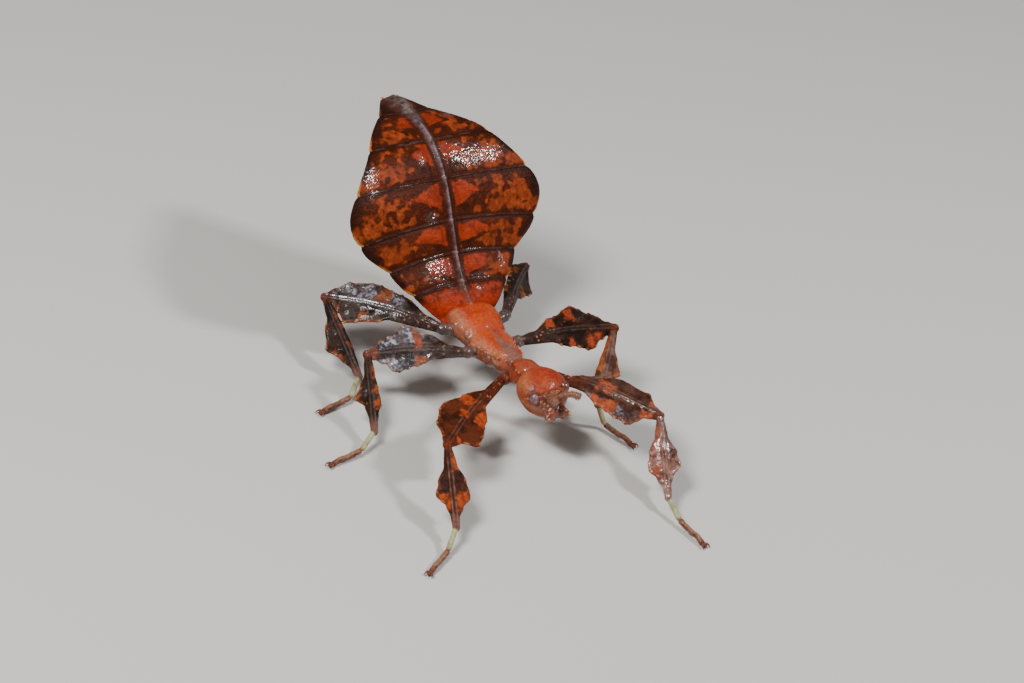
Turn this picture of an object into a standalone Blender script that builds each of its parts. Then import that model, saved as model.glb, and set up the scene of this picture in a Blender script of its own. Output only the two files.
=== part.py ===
"""A leaf insect nymph, life size, in a standing pose.

The insect faces -Y with +Z up, and +X is its own left side.  Sizes are in
millimetres and are turned into metres when the meshes are made.  The body is
built round the median plane x = 0 with the floor at z = 0, and at the end the
whole model is moved sideways so that the origin is under the middle of its box.
"""
import math

import bmesh
import bpy
from mathutils import Matrix, Vector

MM = 0.001
GAP = 0.3                  # clear space between two pieces that meet
EDGE = 0.25                # half the thickness of every thin margin
SIDES = {"right": -1, "left": 1}
UP = Vector((0, 0, 1))

# ---- trunk: y, half width, top and underside of the thorax -----------------
TRUNK = (
    (-6.60, 0.72, 4.66, 3.78),
    (-6.25, 0.97, 4.88, 3.58),
    (-5.70, 0.88, 4.92, 3.45),
    (-5.15, 0.57, 4.72, 3.35),
    (-4.75, 0.66, 4.72, 3.25),
    (-4.10, 0.98, 4.66, 3.10),
    (-3.20, 1.22, 4.50, 2.95),
    (-2.40, 1.50, 4.45, 2.90),
    (-1.75, 1.42, 4.42, 2.90),
    (-1.20, 1.52, 4.60, 2.95),
    (-0.40, 1.78, 4.82, 3.10),
    (0.40, 1.72, 4.92, 3.45),
)
PRONOTUM_SPAN = (-6.45, -5.25)
MESOTHORAX_SPAN = (-4.95, -1.85)
METATHORAX_SPAN = (-1.55, 0.30)
TRUNK_STEP = 0.28
TRUNK_SIDES = 16
CREST = ((-5.0, 0.0), (-4.2, 0.20), (-1.0, 0.28), (0.3, 0.10))   # height of the thorax's keel
SHOULDER_SPINE = 0.28      # height of the spines along the mesothorax's margins
SHOULDER_SPINES = 4
SPINE_STEP = 0.42
SPINE_RADIUS = 0.20

# ---- abdomen: the segment lines along its midrib (y, z of the upper side) --
MIDRIB = (
    (0.60, 4.95), (1.83, 5.76), (3.06, 7.11), (4.19, 8.80),
    (5.74, 10.93), (7.90, 12.43), (10.56, 12.80), (12.40, 12.72),
)
HALF_WIDTH = (1.95, 3.50, 4.70, 6.42, 6.28, 4.42, 1.88, 0.70)
MARGIN_DROP = (0.45, 0.28, 0.42, 0.36, 0.14, 0.08, 0.30, 0.20)
LINE_BOW = (0.0, 0.25, 0.47, 0.60, 0.15, 0.05, -0.40, -0.30)
BELLY = 0.50               # half the extra depth of the leaf along its midrib
MIDRIB_RIDGE = 0.26
MIDRIB_WIDTH = 0.42
LINE_RIDGE = 0.16
LINE_WIDTH = 0.20
MARGIN_NOTCH = 0.10
CERCUS_LENGTH = 0.45       # how far the two cerci pass the tip
CERCUS_RADIUS = 0.24
MARGIN_SWELL = (0.12, 0.12, 0.12, 0.42, -0.12, 0.18, 0.06)
ACROSS = (-1.0, -0.84, -0.66, -0.47, -0.29, -0.15, -0.07,
          0.0, 0.07, 0.15, 0.29, 0.47, 0.66, 0.84, 1.0)

# ---- head ------------------------------------------------------------------
HEAD_CENTRE = Vector((0, -8.00, 4.06))
HEAD_HALF = Vector((1.72, 1.66, 1.36))
HEAD_PITCH = math.radians(24)
HEAD_ROLL = math.radians(7)                  # the head is cocked, its left eye up
HEAD_YAW = math.radians(8)                   # and turned to its left
FACE_TAPER = 0.16                            # shares by which the head narrows towards the face,
CROWN_TAPER = 0.10                           # towards the back
JOWL_TAPER = 0.24                            # and towards its underside
EYE_HALF = Vector((0.32, 0.42, 0.36))
EYE_PLACE = Vector((1.12, -0.38, 0.79))      # in the head's own axes
ANTENNA_PLACE = Vector((0.42, -0.95, 0.98))
ANTENNA_LENGTH = 1.36
ANTENNA_RADIUS = 0.27
ANTENNA_JOINTS = 8
ANTENNA_ARCH = 0.20
ANTENNA_POSE = {"right": (22, 0.56), "left": (34, 0.38)}     # degrees of spread, rise
MOUTH_PLACE = Vector((0, -1.42, 0.28))
MOUTH_HALF = Vector((0.80, 0.58, 0.56))
# Root, bend, tip and radius of the outer and the inner palp, from the mouth's middle.
PALPS = (
    ((0.31, -0.04, -0.02), (0.82, -0.28, -0.06), (0.76, -0.50, -0.30), 0.26),
    ((0.28, -0.10, -0.12), (0.37, -0.39, -0.22), (0.33, -0.39, -0.45), 0.23),
)
PALP_STEPS = 6

# ---- legs ------------------------------------------------------------------
HIP = {
    "front": Vector((1.36, -5.74, 3.85)),
    "mid": Vector((2.02, -2.54, 3.80)),
    "hind": Vector((2.40, -0.15, 4.05)),
}
COXA_ROOT = {
    "front": Vector((0.30, -5.55, 3.78)),
    "mid": Vector((0.90, -2.35, 3.60)),
    "hind": Vector((1.20, -0.40, 3.80)),
}
FEMUR_LENGTH = {"front": 7.9, "mid": 6.1, "hind": 7.7}
TIBIA_LENGTH = {"front": 5.5, "mid": 5.3, "hind": 5.9}
BASITARSUS_LENGTH = 1.65
TARSUS_LENGTH = 2.25
COXA_RADIUS = 0.46
COXA_RUN = 0.5                               # a coxa runs on past the hip before the joint's cut
SHAFT = {"femur": 0.30, "tibia": 0.26}       # half width of the leg's core
RIDGE = {"femur": 0.36, "tibia": 0.32}       # half depth of the leg's core
# How far each femur's core bows rearward.
COSTA_BOW = {
    "front_right": 0.25, "front_left": 0.45, "mid_right": 0.30,
    "mid_left": 0.30, "hind_right": 0.42, "hind_left": 0.20,
}
TARSUS_RADIUS = 0.27
BASITARSUS_HEIGHT = 0.42                     # height of its far end's axis
CLAW_LENGTH = 0.40
CLAW_SPREAD = 0.26
CLAW_RADII = (0.15, 0.14, 0.12, 0.10, 0.05)

# Sweep is the heading of a segment on the floor's plan: 0 points straight out
# sideways, 90 forward, -90 backward.  Pitch is how far a femur rises.
POSE = {
    "front_right": dict(femur=(33, -2.5), tibia=69, basitarsus=44, tarsus=32, ankle=1.15),
    "front_left": dict(femur=(49.5, -2.5), tibia=112, basitarsus=92, tarsus=83, ankle=1.0),
    "mid_right": dict(femur=(-23, -5.5), tibia=68.5, basitarsus=31, tarsus=10, ankle=1.0),
    "mid_left": dict(femur=(16, 8), tibia=130, basitarsus=22, tarsus=72, ankle=1.9),
    "hind_right": dict(femur=(-53, -6), tibia=86, basitarsus=42, tarsus=12, ankle=1.05),
    "hind_left": dict(femur=(-46.5, -8.5), tibia=-140, basitarsus=-115, tarsus=-90, ankle=0.5),
}
# Lean tips a blade's flat side from level (0) towards the light side (1).
LEAN = {
    "front_right": (0.75, 0.6), "front_left": (0.25, 0.6),
    "mid_right": (0.6, 0.6), "mid_left": (0.6, 0.6),
    "hind_right": (0.6, 0.6), "hind_left": (0.6, 0.6),
}
LEAN_TO = Vector((-0.533, -0.638, 0.556))
ROLL = {"hind_left": (-38, 0)}               # degrees a femur and a tibia turn on edge
LOBE_SHARE = {"hind_left": (0.35, 1.0)}      # that femur's rear lobe is a narrow one

# Lobes: (place along the segment, width from its axis).  The rear lobe of a
# femur is its upper one, and the outer lobe of a tibia faces away from the body.
FEMUR_LOBES = {
    "front": dict(
        rear=((0, 0.32), (0.22, 0.5), (0.42, 1.25), (0.63, 1.85), (0.84, 1.45), (0.95, 0.6), (1, 0.32)),
        fore=((0, 0.32), (0.36, 0.38), (0.55, 0.98), (0.69, 1.38), (0.79, 1.48), (0.90, 0.62), (1, 0.32))),
    "mid": dict(
        rear=((0, 0.32), (0.15, 0.55), (0.38, 1.30), (0.59, 1.88), (0.78, 1.15), (0.93, 0.55), (1, 0.32)),
        fore=((0, 0.32), (0.30, 0.45), (0.52, 0.80), (0.73, 1.15), (0.83, 0.65), (0.93, 0.45), (1, 0.32))),
    "hind": dict(
        rear=((0, 0.32), (0.12, 0.60), (0.40, 1.50), (0.66, 1.80), (0.84, 1.45), (0.95, 0.75), (1, 0.32)),
        fore=((0, 0.32), (0.42, 0.45), (0.55, 0.75), (0.77, 1.25), (0.86, 0.70), (0.94, 0.45), (1, 0.32))),
}
TIBIA_LOBES = {
    "front": dict(
        outer=((0, 0.28), (0.25, 0.42), (0.45, 0.80), (0.60, 1.00), (0.74, 0.52), (0.88, 0.33), (1, 0.28)),
        inner=((0, 0.28), (0.25, 0.50), (0.45, 0.88), (0.64, 1.04), (0.78, 0.58), (0.9, 0.33), (1, 0.28))),
    "mid": dict(
        outer=((0, 0.28), (0.25, 0.38), (0.42, 0.65), (0.57, 0.95), (0.68, 0.50), (0.85, 0.33), (1, 0.28)),
        inner=((0, 0.28), (0.25, 0.42), (0.45, 0.52), (0.65, 0.60), (0.78, 0.42), (0.9, 0.33), (1, 0.28))),
    "hind": dict(
        outer=((0, 0.28), (0.22, 0.45), (0.42, 0.90), (0.60, 1.20), (0.72, 0.70), (0.9, 0.33), (1, 0.28)),
        inner=((0, 0.28), (0.25, 0.38), (0.45, 0.42), (0.65, 0.45), (0.78, 0.38), (0.9, 0.33), (1, 0.28))),
}
FEMUR_STATIONS = 22
TIBIA_STATIONS = 16
# Height of the teeth along a femur's two lobes and along a tibia's two.
TEETH = {"front": (0.16, 0.26, 0.14), "mid": (0.18, 0.22, 0.14), "hind": (0.12, 0.20, 0.14)}
TEETH_SHARE = {
    "front_right": 0.45, "front_left": 0.60, "mid_right": 0.85,
    "mid_left": 1.0, "hind_right": 0.85, "hind_left": 0.85,
}
LOBE_CURL = 0.16
OVERRUN = 0.3              # a leg segment runs on past its joints before the joint's cut

COLOURS = {
    "abdomen": (0.42, 0.09, 0.03), "thorax": (0.45, 0.11, 0.04),
    "head": (0.50, 0.12, 0.05), "eye": (0.10, 0.07, 0.09),
    "leg": (0.22, 0.07, 0.03), "tarsus": (0.62, 0.48, 0.30),
    "antenna": (0.55, 0.38, 0.25),
}


# ---- small helpers ---------------------------------------------------------
def blend(points, place):
    """Value at a place, smooth between the listed (place, value) points."""
    if place <= points[0][0]:
        return points[0][1]
    for (x0, v0), (x1, v1) in zip(points, points[1:]):
        if place <= x1:
            part = (place - x0) / (x1 - x0)
            part = part * part * (3 - 2 * part)
            return v0 + (v1 - v0) * part
    return points[-1][1]


def ramp(values, place):
    """Catmull-Rom value at a place counted in list steps."""
    last = len(values) - 1
    low = min(int(place), last - 1)
    part = place - low
    v = [values[max(0, min(last, low + k))] for k in (-1, 0, 1, 2)]
    return 0.5 * (2 * v[1] + (v[2] - v[0]) * part
                  + (2 * v[0] - 5 * v[1] + 4 * v[2] - v[3]) * part ** 2
                  + (3 * v[1] - v[0] - 3 * v[2] + v[3]) * part ** 3)


def material(name):
    """One Principled material for each kind of body part."""
    found = bpy.data.materials.get(name)
    if found:
        return found
    made = bpy.data.materials.new(name)
    made.use_nodes = True
    shader = made.node_tree.nodes["Principled BSDF"]
    shader.inputs["Base Color"].default_value = (*COLOURS[name], 1)
    shader.inputs["Roughness"].default_value = 0.15 if name == "eye" else 0.4
    made.diffuse_color = (*COLOURS[name], 1)
    return made


def object_from(name, mesh_data, look):
    """A mesh in millimetres becomes an object in metres."""
    bmesh.ops.recalc_face_normals(mesh_data, faces=mesh_data.faces)
    bmesh.ops.triangulate(mesh_data, faces=[f for f in mesh_data.faces if len(f.verts) > 3])
    bmesh.ops.scale(mesh_data, vec=(MM, MM, MM), verts=mesh_data.verts)
    mesh = bpy.data.meshes.new(name)
    mesh_data.to_mesh(mesh)
    mesh_data.free()
    made = bpy.data.objects.new(name, mesh)
    PARTS.objects.link(made)
    mesh.materials.append(material(look))
    return made


def loft(rings):
    """A closed body through rings of equal count, split alike on both faces."""
    data = bmesh.new()
    rows = [[data.verts.new(p) for p in ring] for ring in rings]
    count = len(rings[0])
    half = count // 2
    for one, two in zip(rows, rows[1:]):
        for k in range(count):
            a, b, c, d = one[k], one[(k + 1) % count], two[(k + 1) % count], two[k]
            if k < half:
                data.faces.new((a, b, c))
                data.faces.new((a, c, d))
            else:
                data.faces.new((a, b, d))
                data.faces.new((b, c, d))
    data.faces.new(rows[0])
    data.faces.new(rows[-1])
    return data


def cut_flat(data, point, normal):
    """Removes what lies past a plane and closes the cut with a flat face."""
    everything = data.verts[:] + data.edges[:] + data.faces[:]
    result = bmesh.ops.bisect_plane(data, geom=everything, plane_co=point,
                                    plane_no=normal, clear_outer=True)
    rim = [e for e in result["geom_cut"] if isinstance(e, bmesh.types.BMEdge)]
    if rim:
        bmesh.ops.holes_fill(data, edges=rim, sides=0)


def tube(path, radii, sides=8, squash=1.0):
    """Rings square to a path of points, as one closed loft."""
    rings = []
    for k, centre in enumerate(path):
        ahead = (path[min(k + 1, len(path) - 1)] - path[max(k - 1, 0)]).normalized()
        across = ahead.cross(UP)
        across = across.normalized() if across.length > 0.1 else Vector((1, 0, 0))
        above = across.cross(ahead)
        ring = []
        for step in range(sides):
            angle = 2 * math.pi * (step + 0.5) / sides
            ring.append(centre + across * radii[k] * math.cos(angle)
                        + above * radii[k] * squash * math.sin(angle))
        rings.append(ring)
    return loft(rings)


def curve_points(start, middle, end, steps):
    """Points along a bend that leaves start towards middle and arrives at end."""
    points = []
    for k in range(steps + 1):
        t = k / steps
        points.append(start * (1 - t) ** 2 + middle * 2 * t * (1 - t) + end * t * t)
    return points


def boolean(target, operation, others, solver="EXACT"):
    """Applies one Boolean of closed meshes and keeps the largest closed surface."""
    group = bpy.data.collections.new("boolean")
    bpy.context.scene.collection.children.link(group)
    for other in others:
        PARTS.objects.unlink(other)
        group.objects.link(other)
    step = target.modifiers.new("boolean", "BOOLEAN")
    step.operation = operation
    step.operand_type = "COLLECTION"
    step.collection = group
    step.solver = solver
    graph = bpy.context.evaluated_depsgraph_get()
    solid = bpy.data.meshes.new_from_object(target.evaluated_get(graph))
    target.modifiers.clear()
    old = target.data
    target.data = solid
    bpy.data.meshes.remove(old)
    for other in others:
        bpy.data.objects.remove(other)
    bpy.data.collections.remove(group)
    keep_largest(solid)
    return target


def keep_largest(mesh):
    """Drops every surface but the largest."""
    data = bmesh.new()
    data.from_mesh(mesh)
    data.verts.ensure_lookup_table()
    left = set(data.verts)
    groups = []
    while left:
        stack = [left.pop()]
        group = set(stack)
        while stack:
            for edge in stack.pop().link_edges:
                for vert in edge.verts:
                    if vert in left:
                        left.discard(vert)
                        group.add(vert)
                        stack.append(vert)
        groups.append(group)
    groups.sort(key=len)
    for group in groups[:-1]:
        bmesh.ops.delete(data, geom=list(group), context="VERTS")
    data.to_mesh(mesh)
    data.free()


# ---- thorax ----------------------------------------------------------------
def trunk_ring(y, grow=0.0):
    """The thorax's outline at one y: flatter above than below."""
    half = blend([(row[0], row[1]) for row in TRUNK], y) + grow
    top = blend([(row[0], row[2]) for row in TRUNK], y) + grow
    low = blend([(row[0], row[3]) for row in TRUNK], y) - grow
    middle = low + (top - low) * 0.55
    crest = blend(CREST, y)
    ring = []
    for step in range(TRUNK_SIDES):
        angle = 2 * math.pi * (step + 0.5) / TRUNK_SIDES
        side, height = math.cos(angle), math.sin(angle)
        reach = (top - middle) if height > 0 else (middle - low)
        lift = math.copysign(abs(height) ** 0.85, height)
        keel = crest * (1 - abs(side)) ** 1.5 if height > 0 else 0
        ring.append(Vector((half * math.copysign(abs(side) ** 0.8, side), y,
                            middle + reach * lift + keel)))
    return ring


def trunk(span, grow=0.0):
    """A loft of the thorax over a span of y."""
    count = max(2, round((span[1] - span[0]) / TRUNK_STEP))
    stations = [span[0] + (span[1] - span[0]) * k / count for k in range(count + 1)]
    return loft([trunk_ring(y, grow) for y in stations])


def spine(root, tip, radius, sides=5):
    """A small closed cone from a sunk root to its tip."""
    ahead = (tip - root).normalized()
    across = ahead.cross(UP if abs(ahead.z) < 0.9 else Vector((1, 0, 0))).normalized()
    above = across.cross(ahead)
    data = bmesh.new()
    foot = []
    for step in range(sides):
        angle = 2 * math.pi * step / sides
        foot.append(data.verts.new(root + across * radius * math.cos(angle)
                                   + above * radius * math.sin(angle)))
    point = data.verts.new(tip)
    data.faces.new(foot)
    for step in range(sides):
        data.faces.new((foot[step], foot[(step + 1) % sides], point))
    return data


def make_thorax():
    """Pronotum, mesothorax with its shoulder spines, and metathorax."""
    object_from("pronotum", trunk(PRONOTUM_SPAN), "thorax")
    middle = object_from("mesothorax", trunk(MESOTHORAX_SPAN), "thorax")
    spines = []
    for side in SIDES.values():
        for k in range(SHOULDER_SPINES):
            y = MESOTHORAX_SPAN[0] + 0.35 + k * SPINE_STEP
            half = blend([(row[0], row[1]) for row in TRUNK], y)
            top = blend([(row[0], row[2]) for row in TRUNK], y)
            root = Vector((side * (half - 0.25), y, top - 0.50))
            tip = Vector((side * (half + SHOULDER_SPINE * (1 - 0.15 * k)), y - 0.10, top - 0.30))
            spines.append(object_from("spine", spine(root, tip, SPINE_RADIUS), "thorax"))
    boolean(middle, "UNION", spines)
    object_from("metathorax", trunk(METATHORAX_SPAN), "thorax")


# ---- abdomen ---------------------------------------------------------------
def abdomen_ring(place, ridge, notch):
    """One row across the leaf, at a place counted in segments from its base."""
    y = ramp([p[0] for p in MIDRIB], place)
    z = ramp([p[1] for p in MIDRIB], place)
    ahead = Vector((0, ramp([p[0] for p in MIDRIB], place + 0.05) - y,
                    ramp([p[1] for p in MIDRIB], place + 0.05) - z)).normalized()
    normal = Vector((1, 0, 0)).cross(ahead)
    half = ramp(HALF_WIDTH, place) + notch
    drop = ramp(MARGIN_DROP, place)
    bow = ramp(LINE_BOW, place)
    upper, lower = [], []
    for u in ACROSS:
        x = u * half
        core = max(0.0, 1 - abs(u)) ** 1.6 * BELLY * min(1.0, half / 2.5)
        rib = MIDRIB_RIDGE * math.exp(-(x / MIDRIB_WIDTH) ** 2)
        line = ridge * (1 - 0.5 * abs(u))
        base = Vector((x, y, z)) - normal * (drop * u * u) - ahead * (bow * u * u)
        upper.append(base + normal * (rib + line))
        lower.append(base - normal * (2 * EDGE + 2 * core + 0.5 * rib))
    return upper + lower[::-1]


def make_abdomen():
    """The leaf: a thin membrane with raised midrib and segment lines."""
    last = len(MIDRIB) - 1
    rings = []
    for segment in range(last):
        length = (Vector(MIDRIB[segment + 1]) - Vector(MIDRIB[segment])).length
        foot = LINE_WIDTH / length
        rings.append(abdomen_ring(segment, LINE_RIDGE, -MARGIN_NOTCH if segment else 0))
        rings.append(abdomen_ring(segment + foot, 0, 0))
        for part in (0.25, 0.5, 0.75):
            swell = MARGIN_SWELL[segment] * math.sin(math.pi * part)
            rings.append(abdomen_ring(segment + part, 0, swell))
        rings.append(abdomen_ring(segment + 1 - foot, 0, 0))
    rings.append(abdomen_ring(last, 0, 0))
    leaf = object_from("abdomen", loft(rings), "abdomen")
    cerci = []
    for side in SIDES.values():
        root = Vector((side * 0.35, MIDRIB[last][0] - 0.25, MIDRIB[last][1] - 0.15))
        tip = Vector((side * 0.62, MIDRIB[last][0] + CERCUS_LENGTH, MIDRIB[last][1] - 0.25))
        cerci.append(object_from("cercus", spine(root, tip, CERCUS_RADIUS, 6), "abdomen"))
    boolean(leaf, "UNION", cerci)


# ---- head ------------------------------------------------------------------
def head_point(local, grow=0.0):
    """A point in the head's own axes, cocked, pitched face down, turned and set in the body."""
    side = local.x * math.cos(HEAD_ROLL) - local.z * math.sin(HEAD_ROLL)
    rise = local.z * math.cos(HEAD_ROLL) + local.x * math.sin(HEAD_ROLL)
    ahead = local.y * math.cos(HEAD_PITCH) - rise * math.sin(HEAD_PITCH)
    above = rise * math.cos(HEAD_PITCH) + local.y * math.sin(HEAD_PITCH)
    turned = Vector((side * math.cos(HEAD_YAW) - ahead * math.sin(HEAD_YAW),
                     side * math.sin(HEAD_YAW) + ahead * math.cos(HEAD_YAW), above))
    if local.length > 0:
        turned += turned.normalized() * grow
    return HEAD_CENTRE + turned


def head_capsule(grow=0.0, around=20, rows=12):
    """A rounded capsule, domed above, narrower and flatter towards the face."""
    data = bmesh.new()
    bmesh.ops.create_uvsphere(data, u_segments=around, v_segments=rows, radius=1)
    for vert in data.verts:
        unit = vert.co.copy()
        face = max(0.0, -unit.y)
        crown = max(0.0, unit.y)
        low = blend(((-0.55, 1.0), (0.35, 0.0)), unit.z) * (1 - 0.8 * crown)
        narrowing = FACE_TAPER * face ** 2 + CROWN_TAPER * crown ** 2 + JOWL_TAPER * low * (1 - 0.5 * face)
        local = Vector((unit.x * HEAD_HALF.x * (1 - narrowing),
                        unit.y * HEAD_HALF.y,
                        unit.z * HEAD_HALF.z * (1 - 0.14 * face)))
        if unit.z < 0:
            local.z *= 0.82
        vert.co = head_point(local, grow)
    return data


def make_head():
    """Head capsule with two eyes, two feelers and the mouthparts."""
    head = object_from("head", head_capsule(), "head")
    neck = object_from("neck", trunk((PRONOTUM_SPAN[0] - GAP, PRONOTUM_SPAN[1]), 0.4), "head")
    sockets = [object_from("socket", eyeball(side, GAP), "head") for side in SIDES.values()]
    boolean(head, "DIFFERENCE", [neck] + sockets)
    for word, side in SIDES.items():
        object_from(f"eye_{word}", eyeball(side), "eye")
        make_antenna(word, side)
    make_mouthparts()


def eyeball(side, grow=0.0):
    """One eye, an egg longer than it is wide; grown, it is the eye's socket."""
    data = bmesh.new()
    bmesh.ops.create_uvsphere(data, u_segments=12, v_segments=8, radius=1)
    for vert in data.verts:
        unit = vert.co.copy()
        vert.co = head_point(Vector((side * EYE_PLACE.x + unit.x * (EYE_HALF.x + grow),
                                     EYE_PLACE.y + unit.y * (EYE_HALF.y + grow),
                                     EYE_PLACE.z + unit.z * (EYE_HALF.z + grow))))
    return data


def make_antenna(word, side):
    """A short jointed feeler that thickens to a blunt club."""
    root = head_point(Vector((side * ANTENNA_PLACE.x, ANTENNA_PLACE.y, ANTENNA_PLACE.z)))
    spread, rise = ANTENNA_POSE[word]
    spread = math.radians(spread)
    heading_out = Vector((side * math.sin(spread), -math.cos(spread), rise))
    path, radii = [], []
    steps = 2 * ANTENNA_JOINTS
    for k in range(steps + 1):
        t = k / steps
        path.append(root + heading_out * ANTENNA_LENGTH * t + UP * ANTENNA_ARCH * math.sin(math.pi * t))
        radii.append(ANTENNA_RADIUS * (0.94 + 0.16 * t) * (1.0 if k % 2 else 0.90))
    radii[-1] *= 0.6
    feeler = object_from(f"antenna_{word}", tube(path, radii), "antenna")
    shell = object_from("shell", head_capsule(GAP, 32, 20), "head")
    boolean(feeler, "DIFFERENCE", [shell])


def make_mouthparts():
    """Labrum and jaws as one block, with two pairs of palps fused to it."""
    centre = head_point(MOUTH_PLACE)
    data = bmesh.new()
    bmesh.ops.create_uvsphere(data, u_segments=12, v_segments=8, radius=1)
    for vert in data.verts:
        unit = vert.co.copy()
        vert.co = centre + Vector((unit.x * MOUTH_HALF.x, unit.y * MOUTH_HALF.y,
                                   unit.z * MOUTH_HALF.z))
    block = object_from("mouthparts", data, "head")
    palps = []
    for side in SIDES.values():
        for root, bend, tip, radius in PALPS:
            path = curve_points(*(centre + Vector((side * x, y, z)) for x, y, z in (root, bend, tip)),
                                PALP_STEPS)
            radii = [radius * (0.92 if k % 2 else 1.04) for k in range(PALP_STEPS)] + [radius * 0.6]
            palps.append(object_from("palp", tube(path, radii, 6), "head"))
    shell = object_from("shell", head_capsule(GAP, 32, 20), "head")
    boolean(block, "UNION", palps)
    boolean(block, "DIFFERENCE", [shell], "MANIFOLD")


# ---- legs ------------------------------------------------------------------
def heading(side, sweep, pitch=0.0):
    """Unit vector for a sweep and pitch in degrees."""
    level = math.cos(math.radians(pitch))
    return Vector((side * math.cos(math.radians(sweep)) * level,
                   -math.sin(math.radians(sweep)) * level,
                   math.sin(math.radians(pitch))))


def leg_joints(leg):
    """Hip, knee, ankle, end of the basitarsus and foot of one leg."""
    pair, word = leg.split("_")
    side, pose = SIDES[word], POSE[leg]
    hip = Vector((side * HIP[pair].x, HIP[pair].y, HIP[pair].z))
    knee = hip + heading(side, *pose["femur"]) * FEMUR_LENGTH[pair]

    def lowered(start, length, sweep, height):
        run = math.sqrt(length ** 2 - (start.z - height) ** 2)
        end = start + heading(side, sweep) * run
        end.z = height
        return end

    ankle = lowered(knee, TIBIA_LENGTH[pair], pose["tibia"], pose["ankle"])
    heel = lowered(ankle, BASITARSUS_LENGTH, pose["basitarsus"], BASITARSUS_HEIGHT)
    foot = lowered(heel, TARSUS_LENGTH, pose["tarsus"], TARSUS_RADIUS * 0.8)
    return hip, knee, ankle, heel, foot


def flat_side(axis, lean, roll):
    """The way a blade's flat side faces."""
    facing = LEAN_TO * lean + UP * (1 - lean)
    normal = (facing - axis * facing.dot(axis)).normalized()
    return Matrix.Rotation(math.radians(roll), 3, axis) @ normal


def blade(start, end, normal, lobes, teeth, shaft, ridge, bow, stations, side):
    """A leg segment: a ridged core with a thin toothed lobe along each side."""
    axis = (end - start).normalized()
    across = normal.cross(axis) * side
    length = (end - start).length
    rings = []
    for k in range(-1, stations + 2):
        t = min(max(k / stations, 0), 1)
        past = -OVERRUN if k < 0 else OVERRUN if k > stations else 0
        centre = start + axis * (t * length + past)
        shift = -bow * math.sin(math.pi * t)
        taper = 0.62 if k < 0 or k > stations else 1.0
        toothed = k % 2 and 0.25 < t < 0.97
        widths = []
        for lobe, tooth in zip(lobes, teeth):
            width = blend(lobe, t)
            if toothed and width > shaft * 1.3:
                width += tooth * min(1, width)
            widths.append(max(width, shaft + 0.08) * taper)
        rear, fore = widths
        core, deep = shaft * taper, ridge * taper
        thin = min(EDGE, deep)
        shift = max(shift, core + 0.05 - rear)
        rows = ((-rear, thin), ((shift - core - rear) / 2, thin),
                (shift - core, (thin + deep) / 2), (shift, deep),
                (shift + core, (thin + deep) / 2), ((shift + core + fore) / 2, thin),
                (fore, thin))
        upper, lower = [], []
        for place, depth in rows:
            fold = LOBE_CURL * (place / 1.8) ** 2
            middle = centre + across * place - normal * fold
            upper.append(middle + normal * depth)
            lower.append(middle - normal * depth)
        rings.append(upper + lower[::-1])
    return loft(rings)


def narrowed(lobe, share):
    """A lobe with a share of its width past the core."""
    core = lobe[0][1]
    return [(place, core + (width - core) * share) for place, width in lobe]


def mitre(before, joint, after):
    """Normal of the plane that parts two segments at their joint."""
    return ((joint - before).normalized() + (after - joint).normalized()).normalized()


def make_leg(leg):
    """Coxa, femur, tibia, basitarsus and tarsus of one leg."""
    pair, word = leg.split("_")
    side = SIDES[word]
    hip, knee, ankle, heel, foot = leg_joints(leg)
    root = Vector((side * COXA_ROOT[pair].x, COXA_ROOT[pair].y, COXA_ROOT[pair].z))
    lean_femur, lean_tibia = LEAN[leg]
    roll_femur, roll_tibia = ROLL.get(leg, (0, 0))

    hip_cut = mitre(root, hip, knee)
    path = [root, root.lerp(hip, 0.5), hip, hip + (hip - root).normalized() * COXA_RUN]
    coxa_data = tube(path, [COXA_RADIUS * share for share in (1.1, 1.15, 1.0, 0.9)], 10)
    cut_flat(coxa_data, hip - hip_cut * GAP / 2, hip_cut)
    coxa = object_from(f"coxa_{leg}", coxa_data, "leg")
    shell = object_from("shell", trunk((TRUNK[0][0], TRUNK[-1][0]), GAP), "leg")
    boolean(coxa, "DIFFERENCE", [shell])

    knee_cut = mitre(hip, knee, ankle)
    lobes = FEMUR_LOBES[pair]
    rear_share, fore_share = LOBE_SHARE.get(leg, (1, 1))
    teeth = [height * TEETH_SHARE[leg] for height in TEETH[pair]]
    normal = flat_side((knee - hip).normalized(), lean_femur, -side * roll_femur)
    lobes = (narrowed(lobes["rear"], rear_share), narrowed(lobes["fore"], fore_share))
    femur_data = blade(hip, knee, normal, lobes, teeth[:2],
                       SHAFT["femur"], RIDGE["femur"], COSTA_BOW[leg], FEMUR_STATIONS, -side)
    cut_flat(femur_data, hip + hip_cut * GAP / 2, -hip_cut)
    cut_flat(femur_data, knee - knee_cut * GAP / 2, knee_cut)
    object_from(f"femur_{leg}", femur_data, "leg")

    ankle_cut = mitre(knee, ankle, heel)
    lobes = TIBIA_LOBES[pair]
    normal = flat_side((ankle - knee).normalized(), lean_tibia, -side * roll_tibia)
    tibia_data = blade(knee, ankle, normal, (lobes["outer"], lobes["inner"]), teeth[2:] * 2,
                       SHAFT["tibia"], RIDGE["tibia"], 0, TIBIA_STATIONS, -side)
    cut_flat(tibia_data, knee + knee_cut * GAP / 2, -knee_cut)
    cut_flat(tibia_data, ankle - ankle_cut * GAP / 2, ankle_cut)
    object_from(f"tibia_{leg}", tibia_data, "leg")

    heel_cut = mitre(ankle, heel, foot)
    back = (ankle - heel).normalized() * OVERRUN
    path = [ankle + back, ankle, ankle.lerp(heel, 0.5), heel, heel - back * 0.6]
    first_data = tube(path, [TARSUS_RADIUS * share for share in (0.8, 0.96, 1.0, 1.1, 1.04)], 8)
    cut_flat(first_data, ankle + ankle_cut * GAP / 2, -ankle_cut)
    cut_flat(first_data, heel - heel_cut * GAP / 2, heel_cut)
    stand_flat(first_data)
    object_from(f"basitarsus_{leg}", first_data, "tarsus")

    make_tarsus(leg, heel, foot, heel_cut)


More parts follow.
